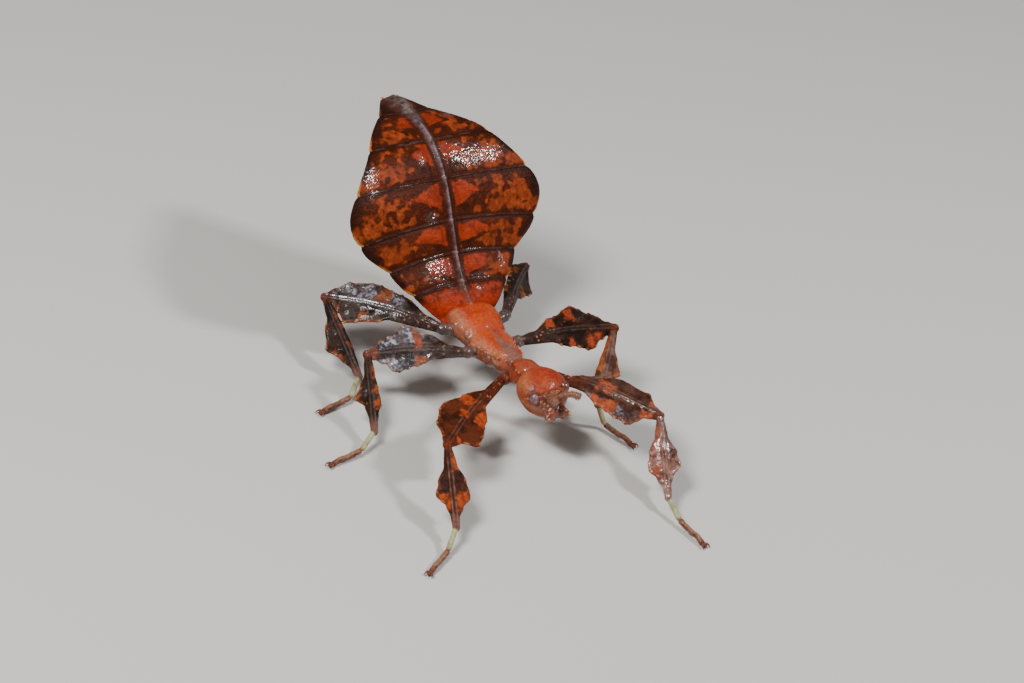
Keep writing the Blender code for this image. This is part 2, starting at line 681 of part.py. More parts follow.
def stand_flat(data):
    """Presses what would pass the floor up to it, which leaves a small flat."""
    for vert in data.verts:
        vert.co.z = max(vert.co.z, 0)


def make_tarsus(leg, heel, foot, heel_cut):
    """Four short joints and a pad that stands flat, with a pair of claws."""
    ahead = (foot - heel).normalized()
    path, radii = [heel - ahead * 0.2], [TARSUS_RADIUS * 0.8]
    steps = 8
    for k in range(steps + 1):
        t = k / steps
        path.append(heel.lerp(foot, t))
        radii.append(TARSUS_RADIUS * (1.06 if k % 2 else 0.92))
    path.append(foot + ahead * 0.25)
    radii.append(TARSUS_RADIUS * 0.6)
    data = tube(path, radii, 8)
    cut_flat(data, heel + heel_cut * GAP / 2, -heel_cut)
    stand_flat(data)
    toe = object_from(f"tarsus_{leg}", data, "tarsus")
    level = Vector((ahead.x, ahead.y, 0)).normalized()
    out = Vector((-level.y, level.x, 0))
    claws = []
    for hand in (-1, 1):
        start = foot - level * 0.05 + out * hand * 0.08 + UP * 0.02
        bend = foot + level * 0.30 + out * hand * CLAW_SPREAD + UP * 0.14
        tip = foot + level * CLAW_LENGTH + out * hand * CLAW_SPREAD - UP * (foot.z - 0.08)
        path = curve_points(start, bend, tip, len(CLAW_RADII) - 1)
        claws.append(object_from("claw", tube(path, CLAW_RADII, 5), "tarsus"))
    boolean(toe, "UNION", claws)


def centre_on_floor():
    """Hangs every part on one empty, which puts the origin under the box's middle."""
    corners = [part.matrix_world @ vert.co for part in PARTS.objects for vert in part.data.vertices]
    low = [min(c[k] for c in corners) for k in range(3)]
    high = [max(c[k] for c in corners) for k in range(3)]
    root = bpy.data.objects.new("leaf_insect_root", None)
    for part in PARTS.objects[:]:
        part.parent = root
    PARTS.objects.link(root)
    root.location = (-(low[0] + high[0]) / 2, -(low[1] + high[1]) / 2, -low[2])


for old_object in list(bpy.data.objects):
    bpy.data.objects.remove(old_object)
PARTS = bpy.data.collections.new("leaf insect")
bpy.context.scene.collection.children.link(PARTS)
make_head()
make_thorax()
make_abdomen()
for leg_name in POSE:
    make_leg(leg_name)
centre_on_floor()
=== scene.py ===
"""Looks of the leaf insect nymph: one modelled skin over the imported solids.

All shapes are worked out in millimetres, in the insect's own frame: it faces -Y,
+Z is up, +X is its own left side, x = 0 is its median plane and z = 0 the floor.
At the end they are moved by the frame's own offset and turned into metres.
"""
import functools
import itertools
import math

import bpy
import numpy as np
from mathutils import Matrix, Vector
from mathutils.bvhtree import BVHTree


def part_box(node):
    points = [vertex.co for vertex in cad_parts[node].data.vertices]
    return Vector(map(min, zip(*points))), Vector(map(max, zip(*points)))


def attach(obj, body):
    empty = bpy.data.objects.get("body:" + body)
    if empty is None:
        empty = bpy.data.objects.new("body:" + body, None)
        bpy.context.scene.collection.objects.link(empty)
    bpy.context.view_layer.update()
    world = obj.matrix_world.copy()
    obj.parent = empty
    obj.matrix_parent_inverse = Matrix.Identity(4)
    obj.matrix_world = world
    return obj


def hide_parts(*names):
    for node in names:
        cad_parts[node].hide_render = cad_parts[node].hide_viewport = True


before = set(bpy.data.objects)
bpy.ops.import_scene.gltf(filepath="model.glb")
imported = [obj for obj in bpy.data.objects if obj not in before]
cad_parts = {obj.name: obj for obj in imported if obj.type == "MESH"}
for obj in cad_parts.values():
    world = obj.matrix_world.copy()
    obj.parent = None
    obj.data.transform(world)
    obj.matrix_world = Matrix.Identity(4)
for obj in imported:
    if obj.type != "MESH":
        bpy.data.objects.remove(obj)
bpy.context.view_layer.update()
MM = 0.001                 # metres
VOXEL = 0.05               # spacing of the skin's faces
FAR = 9.0                  # more than any distance that is compared with it
SIDES = {"right": -1, "left": 1}
UP = np.array((0.0, 0.0, 1.0))
UP_VECTOR = Vector(UP)

# ---- the solids' driving sizes, repeated from part.py -----------------------
# So that the skin lies inside the solids, the feelers' length, the coxae's radius and the
# teeth's shares are smaller here.  The lobes' ends are wider, for the skin slims them again.
# y, half width, top and underside of the thorax.
TRUNK = (
    (-6.60, 0.72, 4.66, 3.78),
    (-6.25, 0.97, 4.88, 3.58),
    (-5.70, 0.88, 4.92, 3.45),
    (-5.15, 0.57, 4.72, 3.35),
    (-4.75, 0.66, 4.72, 3.25),
    (-4.10, 0.98, 4.66, 3.10),
    (-3.20, 1.22, 4.50, 2.95),
    (-2.40, 1.50, 4.45, 2.90),
    (-1.75, 1.42, 4.42, 2.90),
    (-1.20, 1.52, 4.60, 2.95),
    (-0.40, 1.78, 4.82, 3.10),
    (0.40, 1.72, 4.92, 3.45),
)
CREST = ((-5.0, 0.0), (-4.2, 0.20), (-1.0, 0.28), (0.3, 0.10))
# y and z of the midrib where the leaf's segments meet.
MIDRIB = (
    (0.60, 4.95), (1.83, 5.76), (3.06, 7.11), (4.19, 8.80),
    (5.74, 10.93), (7.90, 12.43), (10.56, 12.80), (12.40, 12.72),
)
# There: the leaf's half width, how far its margins droop and lie towards the head.
HALF_WIDTH = (1.95, 3.50, 4.70, 6.42, 6.28, 4.42, 1.88, 0.70)
MARGIN_DROP = (0.45, 0.28, 0.42, 0.36, 0.14, 0.08, 0.30, 0.20)
LINE_BOW = (0.0, 0.25, 0.47, 0.60, 0.15, 0.05, -0.40, -0.30)
BELLY = 0.50               # half the extra depth of the leaf along its midrib
MARGIN_NOTCH = 0.10        # at each line
# How far the margin swells between the lines, segment by segment.
MARGIN_SWELL = (0.12, 0.12, 0.12, 0.42, -0.12, 0.18, 0.06)
CERCUS_LENGTH = 0.45
HEAD_CENTRE = Vector((0, -8.00, 4.06))
HEAD_HALF = Vector((1.72, 1.66, 1.36))
HEAD_PITCH = math.radians(24)
HEAD_ROLL = math.radians(7)
HEAD_YAW = math.radians(8)
EYE_HALF = Vector((0.32, 0.42, 0.36))
EYE_PLACE = Vector((1.12, -0.38, 0.79))
ANTENNA_PLACE = Vector((0.42, -0.95, 0.98))
ANTENNA_LENGTH = 1.28
ANTENNA_POSE = {"right": (math.radians(22), 0.56), "left": (math.radians(34), 0.38)}   # spread, rise
MOUTH_PLACE = Vector((0, -1.42, 0.28))
MOUTH_HALF = Vector((0.80, 0.58, 0.56))
JAWS = (((0.22, -0.36, 0.05), (0.24, 0.24, 0.36)), ((0.52, -0.28, -0.12), (0.26, 0.26, 0.36)))   # place, half
PALPS = (
    ((0.31, -0.04, -0.02), (0.82, -0.28, -0.06), (0.76, -0.50, -0.30), 0.26),
    ((0.28, -0.10, -0.12), (0.37, -0.39, -0.22), (0.33, -0.39, -0.45), 0.23),
)
HIP = {"front": (1.36, -5.74, 3.85), "mid": (2.02, -2.54, 3.80), "hind": (2.40, -0.15, 4.05)}
COXA_ROOT = {"front": (0.30, -5.55, 3.78), "mid": (0.90, -2.35, 3.60), "hind": (1.20, -0.40, 3.80)}
FEMUR_LENGTH = {"front": 7.9, "mid": 6.1, "hind": 7.7}
TIBIA_LENGTH = {"front": 5.5, "mid": 5.3, "hind": 5.9}
BASITARSUS_LENGTH = 1.65
TARSUS_LENGTH = 2.25
COXA_RADIUS = 0.42
COSTA_BOW = {
    "front_right": 0.25, "front_left": 0.45, "mid_right": 0.30,
    "mid_left": 0.30, "hind_right": 0.42, "hind_left": 0.20,
}
TARSUS_RADIUS = 0.27
BASITARSUS_HEIGHT = 0.42
CLAW_LENGTH = 0.40
LOBE_CURL = 0.16
POSE = {
    "front_right": dict(femur=(33, -2.5), tibia=69, basitarsus=44, tarsus=32, ankle=1.15),
    "front_left": dict(femur=(49.5, -2.5), tibia=112, basitarsus=92, tarsus=83, ankle=1.0),
    "mid_right": dict(femur=(-23, -5.5), tibia=68.5, basitarsus=31, tarsus=10, ankle=1.0),
    "mid_left": dict(femur=(16, 8), tibia=130, basitarsus=22, tarsus=72, ankle=1.9),
    "hind_right": dict(femur=(-53, -6), tibia=86, basitarsus=42, tarsus=12, ankle=1.05),
    "hind_left": dict(femur=(-46.5, -8.5), tibia=-140, basitarsus=-115, tarsus=-90, ankle=0.5),
}
LEGS = list(POSE)
# How far each femur's and tibia's flat side turns from up to LEAN_TO.
LEAN = {
    "front_right": (0.75, 0.6), "front_left": (0.25, 0.6),
    "mid_right": (0.6, 0.6), "mid_left": (0.6, 0.6),
    "hind_right": (0.6, 0.6), "hind_left": (0.6, 0.6),
}
LEAN_TO = Vector((-0.533, -0.638, 0.556))
ROLL = {"hind_left": (-38, 0)}            # degrees a femur and a tibia turn on edge
LOBE_SHARE = {"hind_left": (0.35, 1.0)}   # that femur's rear lobe is a narrow one
# Each lobe's width at places along the segment, a femur's rear lobe and a tibia's outer one first.
FEMUR_LOBES = {
    "front": (
        ((0, 0.4), (0.22, 0.5), (0.42, 1.25), (0.63, 1.85), (0.84, 1.45), (0.95, 0.6), (1, 0.4)),
        ((0, 0.4), (0.36, 0.40), (0.55, 0.98), (0.69, 1.38), (0.79, 1.48), (0.90, 0.62), (1, 0.4))),
    "mid": (
        ((0, 0.4), (0.15, 0.55), (0.38, 1.30), (0.59, 1.88), (0.78, 1.15), (0.93, 0.55), (1, 0.4)),
        ((0, 0.4), (0.30, 0.45), (0.52, 0.80), (0.73, 1.15), (0.83, 0.65), (0.93, 0.45), (1, 0.4))),
    "hind": (
        ((0, 0.4), (0.12, 0.60), (0.40, 1.50), (0.66, 1.80), (0.84, 1.45), (0.95, 0.75), (1, 0.4)),
        ((0, 0.4), (0.42, 0.45), (0.55, 0.75), (0.77, 1.25), (0.86, 0.70), (0.94, 0.45), (1, 0.4))),
}
TIBIA_LOBES = {
    "front": (
        ((0, 0.3), (0.25, 0.42), (0.45, 0.80), (0.60, 1.00), (0.74, 0.52), (0.88, 0.33), (1, 0.3)),
        ((0, 0.3), (0.25, 0.50), (0.45, 0.88), (0.64, 1.04), (0.78, 0.58), (0.9, 0.33), (1, 0.3))),
    "mid": (
        ((0, 0.3), (0.25, 0.38), (0.42, 0.65), (0.57, 0.95), (0.68, 0.50), (0.85, 0.33), (1, 0.3)),
        ((0, 0.3), (0.25, 0.42), (0.45, 0.52), (0.65, 0.60), (0.78, 0.42), (0.9, 0.33), (1, 0.3))),
    "hind": (
        ((0, 0.3), (0.22, 0.45), (0.42, 0.90), (0.60, 1.20), (0.72, 0.70), (0.9, 0.33), (1, 0.3)),
        ((0, 0.3), (0.25, 0.38), (0.45, 0.42), (0.65, 0.45), (0.78, 0.38), (0.9, 0.33), (1, 0.3))),
}
# Height of the teeth on a femur's two lobes and on a tibia's.
TEETH = {"front": (0.16, 0.26, 0.14), "mid": (0.18, 0.22, 0.14), "hind": (0.12, 0.20, 0.14)}
TEETH_SHARE = {
    "front_right": 0.40, "front_left": 0.50, "mid_right": 0.80,
    "mid_left": 0.9, "hind_right": 0.75, "hind_left": 0.75,
}
FEMUR_STATIONS = 22
TIBIA_STATIONS = 16

# ---- finer sizes of the skin ------------------------------------------------
KEEL = 0.23                # height of the leaf's midrib, and its half width
KEEL_WIDTH = 0.16
LINE_HEIGHT = 0.055        # ridge along each segment line of the leaf, and its half width
LINE_WIDTH = 0.05
PILLOW = 0.10              # how far a segment swells between its lines
LEAF_EDGE = 0.16           # thickness of the leaf's margin
ROOT_RUN = (1.05, 0.62)    # the leaf's root runs on under the thorax: y and z for each segment
PIT_PLACE = (1.15, 0.22)   # the pits: x, and part of the segment from its head end
BLADE_EDGE = 0.08          # half thickness of a leg lobe's margin
RIDGE_SPREAD = 0.12        # each half of a leg's double ridge from its middle
BODY_DEPTH = {"femur": 0.30, "tibia": 0.25}   # half thickness along a leg segment's middle
STEM_SLIMMING = {"femur": 0.10, "tibia": 0.07}
FOOT_RADIUS = 0.175
HIP_BALL = 0.34
KNEE_BALL = 0.30
ANKLE_BALL = 0.21
JOWL_TAPER = 0.24          # how far the head narrows below
CAP_FRONT = -0.52          # where the crown's rim lies in front, in the head's own axes
CAP_CURVE = 0.22
LEAF_ROOT = -0.9           # the leaf's loft starts this many segments before its root
LEAF_STEP = 0.035          # and has a ring at every such part of a segment
LEAF_AROUND = 200          # points across each side of a ring
TRUNK_ENDS = (-6.75, 0.82)   # y of the thorax's ends
TRUNK_AROUND = 200
RING_STEP = 0.05           # between the rings of thorax and legs
BLADE_AROUND = 76
BLADE_REACH = 0.26         # a leg segment's core runs on this far past its joints
SPINE_COUNT = 5            # small spines on each shoulder: first place, step and radius
SPINE_FIRST = -4.62
SPINE_STEP = 0.40
SPINE_RADIUS = 0.15
CERCUS_RADIUS = 0.22
PAD_HALF = (0.17, 0.17, 0.14)
HAIRS = 420                # on each feeler
HAIR_RADII = (0.009, 0.008, 0.006, 0.002)   # from a hair's root to its tip


# ---- small helpers ----------------------------------------------------------
def smooth(low, high, value):
    """0 below low, 1 above high, smooth between."""
    part = np.clip((value - low) / (high - low), 0, 1)
    return part * part * (3 - 2 * part)


def bell(distance, width):
    """1 at distance 0, falling off over the width."""
    return np.exp(-(np.asarray(distance) / width) ** 2)


def blend(points, place):
    """Values at places, smooth between the listed (place, value) points."""
    place = np.asarray(place, float)
    value = np.full(place.shape, float(points[0][1]))
    for (x0, v0), (x1, v1) in zip(points, points[1:]):
        value += (v1 - v0) * smooth(x0, x1, place)
    return value


def ramp(values, place):
    """Catmull-Rom values at places counted in list steps."""
    last = len(values) - 1
    low = np.clip(np.floor(place), 0, last - 1).astype(int)
    part = place - low
    table = np.array([values[0], *values, values[-1]], float)
    a, b, c, d = (table[low + k] for k in range(4))
    return 0.5 * (2 * b + (c - a) * part + (2 * a - 5 * b + 4 * c - d) * part ** 2
                  + (3 * b - a - 3 * c + d) * part ** 3)


def unit(vectors):
    """Vectors of length one."""
    return vectors / np.maximum(np.linalg.norm(vectors, axis=-1, keepdims=True), 1e-9)


def tone(red, green, blue):
    """A colour as the eye reads it, in the shader's linear values."""
    return np.array([v / 12.92 if v < 0.04045 else ((v + 0.055) / 1.055) ** 2.4
                     for v in (red, green, blue)])


def part_way(values, others, share):
    """Values moved a share of the way to others."""
    return values * (1 - share) + others * share


def hashed(cells, seed):
    """A number from 0 to 1 for each whole-number cell."""
    mixed = (cells[..., 0] * 73856093) ^ (cells[..., 1] * 19349663) ^ (cells[..., 2] * 83492791)
    mixed = (mixed ^ (seed * 2654435761)) & 0xFFFFFFFF
    mixed = ((mixed ^ (mixed >> 15)) * 2246822519) & 0xFFFFFFFF
    mixed = ((mixed ^ (mixed >> 13)) * 3266489917) & 0xFFFFFFFF
    return ((mixed ^ (mixed >> 16)) & 0xFFFFFF) / 0xFFFFFF


def noise(points, size, seed=1, octaves=1):
    """Smooth noise round 0.5, with features of a size in millimetres."""
    total, weight = 0, 0
    for octave in range(octaves):
        place = points * (2 ** octave / size) + 31.7 * (seed + octave)
        low = np.floor(place).astype(np.int64)
        part = place - low
        part = part * part * (3 - 2 * part)
        value = 0
        for corner in itertools.product((0, 1), repeat=3):
            share = np.prod(np.where(corner, part, 1 - part), axis=-1)
            value = value + share * hashed(low + np.array(corner), seed + octave)
        total = total + value * 0.5 ** octave
        weight += 0.5 ** octave
    return total / weight


def grains(points, size, seed=1):
    """Distance to the nearest scattered point, and that point's own number."""
    place = points / size + 57.3 * seed
    low = np.floor(place).astype(np.int64)
    nearest = np.full(len(points), FAR)
    number = np.zeros(len(points))
    for corner in itertools.product((-1, 0, 1), repeat=3):
        cell = low + np.array(corner)
        spot = cell + np.stack([hashed(cell, seed + k) for k in (11, 12, 13)], -1)
        distance = np.linalg.norm(place - spot, axis=-1)
        closer = distance < nearest
        nearest = np.where(closer, distance, nearest)
        number = np.where(closer, hashed(cell, seed + 14), number)
    return nearest, number


# ---- the raw body: closed lofts with notes for the painter ------------------
KINDS = ("leaf", "trunk", "head", "mouth", "palp", "coxa", "femur", "tibia", "heel", "toe", "spine")


class Body:
    """Closed surfaces in millimetres, gathered before they become one skin."""

    def __init__(self):
        self.points, self.faces, self.notes, self.kinds = [], [], [], []
        self.count = 0

    def add(self, kind, grid, along, across, top, edge=FAR, leg=-1):
        """A loft of rows of points round it, closed at both ends by a fan."""
        rows, around = grid.shape[:2]
        grid = np.array(grid, float)
        grid[..., 2] = np.maximum(grid[..., 2], 0)
        notes = np.stack([np.broadcast_to(np.asarray(v, float), (rows, around))
                          for v in (along, across, top, edge)], -1)
        index = np.arange(rows * around).reshape(rows, around) + self.count
        one, two = index[:-1], index[1:]
        quads = np.stack([one, np.roll(one, -1, 1), np.roll(two, -1, 1), two], -1).reshape(-1, 4)
        faces = [quads[:, (0, 1, 2)], quads[:, (0, 2, 3)]]
        points = [grid.reshape(-1, 3)]
        marks = [notes.reshape(-1, 4)]
        for step, ring in ((0, index[0]), (-1, index[-1])):
            middle = self.count + sum(len(p) for p in points)
            points.append(grid[step].mean(0)[None])
            marks.append(notes[step].mean(0)[None])
            faces.append(np.stack([ring, np.roll(ring, -1), np.full(around, middle)], -1))
        self.points += points
        self.notes += marks
        self.faces += faces
        count = sum(len(p) for p in points)
        self.kinds.append(np.tile((KINDS.index(kind), leg), (count, 1)))
        self.count += count


def tube(path, radii, around=40, squash=1.0):
    """Rings square to a path, with the rings' across and upward shares."""
    path = np.array(path, float)
    radii = np.array(radii, float)
    ahead = unit(np.gradient(path, axis=0))
    across = unit(np.cross(ahead, UP) + np.array((1e-6, 0, 0)))
    above = np.cross(across, ahead)
    angle = 2 * math.pi * (np.arange(around) + 0.5) / around
    side, height = np.cos(angle), np.sin(angle)
    ring = (across[:, None] * side[None, :, None]
            + above[:, None] * height[None, :, None] * squash)
    return path[:, None] + ring * radii[:, None, None], side[None], height[None]


def add_tube(body, kind, path, radii, around, leg=-1):
    """A limb round a path, with each ring's share of the length noted."""
    grid, side, height = tube(path, radii, around)
    body.add(kind, grid, np.linspace(0, 1, len(path))[:, None], side, height, leg=leg)


def folded(upper, lower):
    """Rows over the upper side of a thin blade and back along its lower side."""
    return np.concatenate([upper, lower[:, ::-1]], 1)


def bend(start, middle, end, steps):
    """Points along a bend that leaves start towards middle and arrives at end."""
    t = np.linspace(0, 1, steps)[:, None]
    start, middle, end = (np.array(p, float) for p in (start, middle, end))
    return start * (1 - t) ** 2 + middle * 2 * t * (1 - t) + end * t * t


def rounded(count, ends=0.12):
    """Shares that close a tube of many rings with round ends."""
    t = np.linspace(0, 1, count)
    near = np.minimum(t, 1 - t) / ends
    return np.sqrt(np.clip(1 - (1 - np.minimum(near, 1)) ** 2, 0.001, 1))


def ball(centre, half, rows=24, around=36):
    """A round body as rings from pole to pole, and its unit vectors."""
    polar = np.linspace(0.01, math.pi - 0.01, rows)[:, None]
    angle = 2 * math.pi * np.arange(around)[None] / around
    units = np.stack([np.sin(polar) * np.cos(angle), np.sin(polar) * np.sin(angle),
                      np.cos(polar) + 0 * angle], -1)
    return np.array(centre) + units * np.array(half), units


# ---- thorax -----------------------------------------------------------------
FURROWS = ((-5.10, 0.09, 0.15), (-1.70, 0.05, 0.09), (0.50, 0.03, 0.08))   # y, depth, width


def trunk_size(column, y):
    """Half width, top or bottom of the thorax: a column of its table at y."""
    return blend([(row[0], row[column]) for row in TRUNK], y)


def add_trunk(body):
    """Pronotum, mesothorax and metathorax as one loft with furrows between."""
    y = np.arange(*TRUNK_ENDS, RING_STEP)[:, None]
    angle = 2 * math.pi * (np.arange(TRUNK_AROUND) + 0.5)[None] / TRUNK_AROUND
    half, top, low = (trunk_size(column, y) for column in (1, 2, 3))
    middle = low + (top - low) * (0.55 + 0.17 * bell(y + 1.5, 1.7))
    side, height = np.cos(angle), np.sin(angle)
    reach = np.where(height > 0, top - middle, middle - low)
    keel = blend(CREST, y) * (1 - np.abs(side)) ** 1.5 * (height > 0)
    boxy = 0.25 * bell(y + 5.95, 0.55)
    x = half * np.sign(side) * np.abs(side) ** (0.8 - boxy)
    z = middle + reach * np.sign(height) * np.abs(height) ** (0.85 - boxy) + keel
    shrink = sum(depth * bell(y - place, width) for place, depth, width in FURROWS)
    shrink = shrink - 0.05 * bell(y + 5.32, 0.09) + 0.55 * smooth(0.40, 0.80, y)
    centre = np.stack([0 * x, 0 * x, middle + 0 * x], -1)
    grid = np.stack([x, y + 0 * x, z], -1)
    arm = grid - centre
    arm[..., 1] = 0
    flesh = grid.reshape(-1, 3)
    wrinkle = (0.10 * (noise(flesh, 0.55, 71, 2) - 0.5)).reshape(len(y), -1) * smooth(-5.0, -4.6, y)
    grid = grid - unit(arm) * (shrink + wrinkle)[..., None]
    body.add("trunk", grid, y, side * np.ones_like(y), height)
    for side in SIDES.values():
        for k in range(SPINE_COUNT):
            place = SPINE_FIRST + k * SPINE_STEP + 0.10 * math.sin(5.1 * k + side)
            half, top = float(trunk_size(1, place)), float(trunk_size(2, place))
            size = (0.11 - 0.02 * k + 0.05 * math.sin(3.7 * k + 2 * side)) * (0.7 - 0.5 * side)
            root = np.array((side * (half - 0.20), place, top - 0.40))
            tip = np.array((side * (half + size), place - 0.12, top - 0.26 + 0.04 * (k % 2)))
            add_spine(body, root, tip, SPINE_RADIUS)


def add_spine(body, root, tip, radius):
    """A small blunt cone from a sunk root to its tip."""
    count = 14
    radii = radius * (1 - 0.75 * np.linspace(0, 1, count)) * rounded(count, 0.2)
    add_tube(body, "spine", bend(root, (root + tip) / 2, tip, count), radii, 16)


# ---- abdomen ----------------------------------------------------------------
def leaf_place(place):
    """Middle, heading, upward normal and length per segment along the midrib."""
    ys, zs = [p[0] for p in MIDRIB], [p[1] for p in MIDRIB]
    onto = np.maximum(place, 0)
    y, z = ramp(ys, onto), ramp(zs, onto)
    dy, dz = ramp(ys, onto + 0.05) - y, ramp(zs, onto + 0.05) - z
    before = np.minimum(place, 0)
    y, z = y + before * ROOT_RUN[0], z + before * ROOT_RUN[1]
    length = np.hypot(dy, dz)
    middle = np.stack([0 * y, y, z], -1)
    ahead = np.stack([0 * y, dy / length, dz / length], -1)
    normal = np.stack([0 * y, -dz / length, dy / length], -1)
    return middle, ahead, normal, length / 0.05


def add_leaf(body):
    """The leaf: a thin membrane with keel, segment ridges, pillows and pits."""
    last = len(MIDRIB) - 1
    place = np.concatenate([np.arange(LEAF_ROOT, last, LEAF_STEP), [last, last + 0.04]])[:, None]
    u = np.linspace(-1, 1, LEAF_AROUND)[None]
    middle, ahead, normal, length = leaf_place(place)
    nearest = np.clip(np.round(place), 1, last - 1)
    line = np.abs(place - nearest) * length
    part = place - np.floor(place)
    swell = np.array(MARGIN_SWELL)[np.clip(np.floor(place), 0, last - 1).astype(int)]
    half = ramp(HALF_WIDTH, np.maximum(place, 0)) + swell * np.sin(math.pi * part) * (place > 0)
    half = half - MARGIN_NOTCH * bell(line, 0.12)
    half = half * (0.80 + 0.20 * smooth(LEAF_ROOT, -0.2, place)) * (1 - 0.6 * smooth(6.9, 7.06, place))
    x, size = u * half, np.abs(u)
    edge = (1 - size) * half
    core = np.maximum(0, 1 - size) ** 1.6 * BELLY * np.minimum(1, half / 2.5)
    tip = smooth(5.3, 6.6, place)
    keel = KEEL * bell(x, KEEL_WIDTH + 0.18 * tip)
    keel = keel - 0.06 * bell(np.abs(x) - 0.62 - 0.15 * tip, 0.18) * smooth(0.9, 1.5, half)
    ridge = LINE_HEIGHT * bell(line, LINE_WIDTH) - 0.03 * bell(line - 0.14, 0.07)
    ridge = ridge * (1 - 0.5 * size)
    arch = (4 * part * (1 - part)) ** 0.7
    pillow = PILLOW * arch * smooth(0, 0.25, size) * smooth(0, 0.3, edge)
    pit = np.hypot(np.abs(x) - PIT_PLACE[0], (part - PIT_PLACE[1]) * length)
    pits = -0.06 * bell(pit, 0.32) * (place > 0.2) * (place < 5.9)
    wrinkle = -0.16 * bell(np.hypot(np.abs(x) - 0.22, (place - 6.78) * length), 0.20)
    wrinkle = wrinkle - 0.12 * bell(np.hypot(x + 0.05, (place - 6.35) * length), 0.16)
    base = middle + np.stack([x, 0 * x, 0 * x], -1)
    rooted = smooth(0.9, 0.0, place)
    base = base - normal * ((ramp(MARGIN_DROP, np.maximum(place, 0)) + 0.28 * rooted) * u * u)[..., None]
    base = base - ahead * ((ramp(LINE_BOW, np.maximum(place, 0)) + 0.42 * rooted) * u * u)[..., None]
    upper = base + normal * (keel + ridge + pillow + pits + wrinkle)[..., None]
    thick = LEAF_EDGE + (0.5 - LEAF_EDGE) * smooth(0, 0.9, edge)
    under = 0.5 * LINE_HEIGHT * bell(line, LINE_WIDTH) - 0.05 * arch
    lower = base - normal * (thick + 2 * core + 0.13 * bell(x, 0.42) + under)[..., None]
    body.add("leaf", folded(upper, lower), place, folded(u, u), folded(0 * u + 1, 0 * u - 1),
             folded(edge, edge))
    y, z = MIDRIB[last]
    for side in SIDES.values():
        root = np.array((side * 0.32, y - 0.30, z - 0.15))
        tip = np.array((side * 0.60, y + CERCUS_LENGTH, z - 0.20))
        add_spine(body, root, tip, CERCUS_RADIUS)


# ---- head -------------------------------------------------------------------
def turned(one, two, angle):
    """Two coordinates turned in their plane, from the first towards the second."""
    return one * math.cos(angle) - two * math.sin(angle), one * math.sin(angle) + two * math.cos(angle)


def head_point(local):
    """Points in the head's own axes, cocked, pitched and turned, set in the body."""
    local = np.asarray(local, float)
    side, rise = turned(local[..., 0], local[..., 2], HEAD_ROLL)
    ahead, above = turned(local[..., 1], rise, HEAD_PITCH)
    across, ahead = turned(side, ahead, HEAD_YAW)
    return np.array(HEAD_CENTRE) + np.stack([across, ahead, above], -1)


def rim_from(x, y):
    """How far a point lies behind the crown's rim."""
    return y - CAP_FRONT - CAP_CURVE * x ** 2


def head_local(units):
    """The head's capsule: domed above, narrower and flatter towards the face."""
    face = np.maximum(0, -units[..., 1])
    crown = np.maximum(0, units[..., 1])
    low = smooth(0.35, -0.55, units[..., 2]) * (1 - 0.8 * crown)
    narrowing = 0.16 * face ** 2 + 0.10 * crown ** 2 + JOWL_TAPER * low * (1 - 0.5 * face)
    x = units[..., 0] * HEAD_HALF.x * (1 - narrowing)
    y = units[..., 1] * HEAD_HALF.y
    z = units[..., 2] * HEAD_HALF.z * (1 - 0.14 * face) * np.where(units[..., 2] < 0, 0.82, 1)
    return np.stack([x, y, z], -1)


# Pale grains round the feelers' roots: place in the head's own axes, radius.
FACE_GRAINS = (
    ((0.19, -0.42, 1.24), 0.060), ((0.70, -0.34, 1.14), 0.075), ((0.47, -0.50, 1.16), 0.065),
    ((0.10, -0.62, 1.18), 0.055), ((0.90, -0.81, 0.84), 0.085), ((0.72, -1.00, 0.82), 0.090),
    ((0.34, -0.66, 1.10), 0.050), ((0.55, -1.18, 0.76), 0.070), ((0.98, -0.95, 0.66), 0.060),
    ((1.22, -0.72, 0.62), 0.050), ((0.12, -1.30, 0.72), 0.060), ((1.00, -0.62, 0.92), 0.050),
)


def add_head(body):
    """Capsule with brow, eye rims and cheeks."""
    local = head_local(ball((0, 0, 0), (1, 1, 1), 130, 200)[1])
    x, y, z = (local[..., k] for k in range(3))
    rim = rim_from(x, y)
    above = smooth(0.35, 0.75, z)
    lift = (0.06 * smooth(-0.04, 0.10, rim) - 0.07 * bell(rim + 0.10, 0.09)) * above
    lift = lift - 0.05 * smooth(-0.1, -0.5, rim) * above * bell(x, 0.8)
    cheek = bell(np.abs(x) - 1.25, 0.5) * bell(y + 0.7, 0.5)
    lift = lift + 0.05 * cheek * bell(z - 0.1, 0.5)
    body.add("head", head_point(local + unit(local) * lift[..., None]), y, x, z)
    for side in SIDES.values():
        for spot, radius in FACE_GRAINS:
            spot = np.array(spot) * (side, 1, 1)
            grid, _ = ball(head_point(spot), (radius,) * 3, 14, 18)
            body.add("palp", grid, 1.0, 0, 0)


def add_mouth(body):
    """Clypeus, labrum, jaws and two pairs of beaded palps."""
    centre = head_point(np.array(MOUTH_PLACE))
    grid, units = ball(centre, np.array(MOUTH_HALF) * (0.92, 0.86, 0.92), 50, 60)
    body.add("mouth", grid, units[..., 1], units[..., 0], units[..., 2])
    for side in SIDES.values():
        for spot, half in JAWS:
            grid, units = ball(centre + np.array(spot) * (side, 1, 1), half, 24, 30)
            across = side * spot[0] + 0.2 * units[..., 0]
            body.add("mouth", grid, units[..., 1] - 1, across, units[..., 2])
        for *points, radius in PALPS:
            count = 60
            path = bend(*(centre + np.array(p) * (side, 1, 1) for p in points), count)
            beads = 0.80 + 0.16 * np.abs(np.sin(math.pi * 4 * np.linspace(0, 1, count))) ** 0.6
            add_tube(body, "palp", path, radius * 0.78 * beads * rounded(count, 0.14), 28)


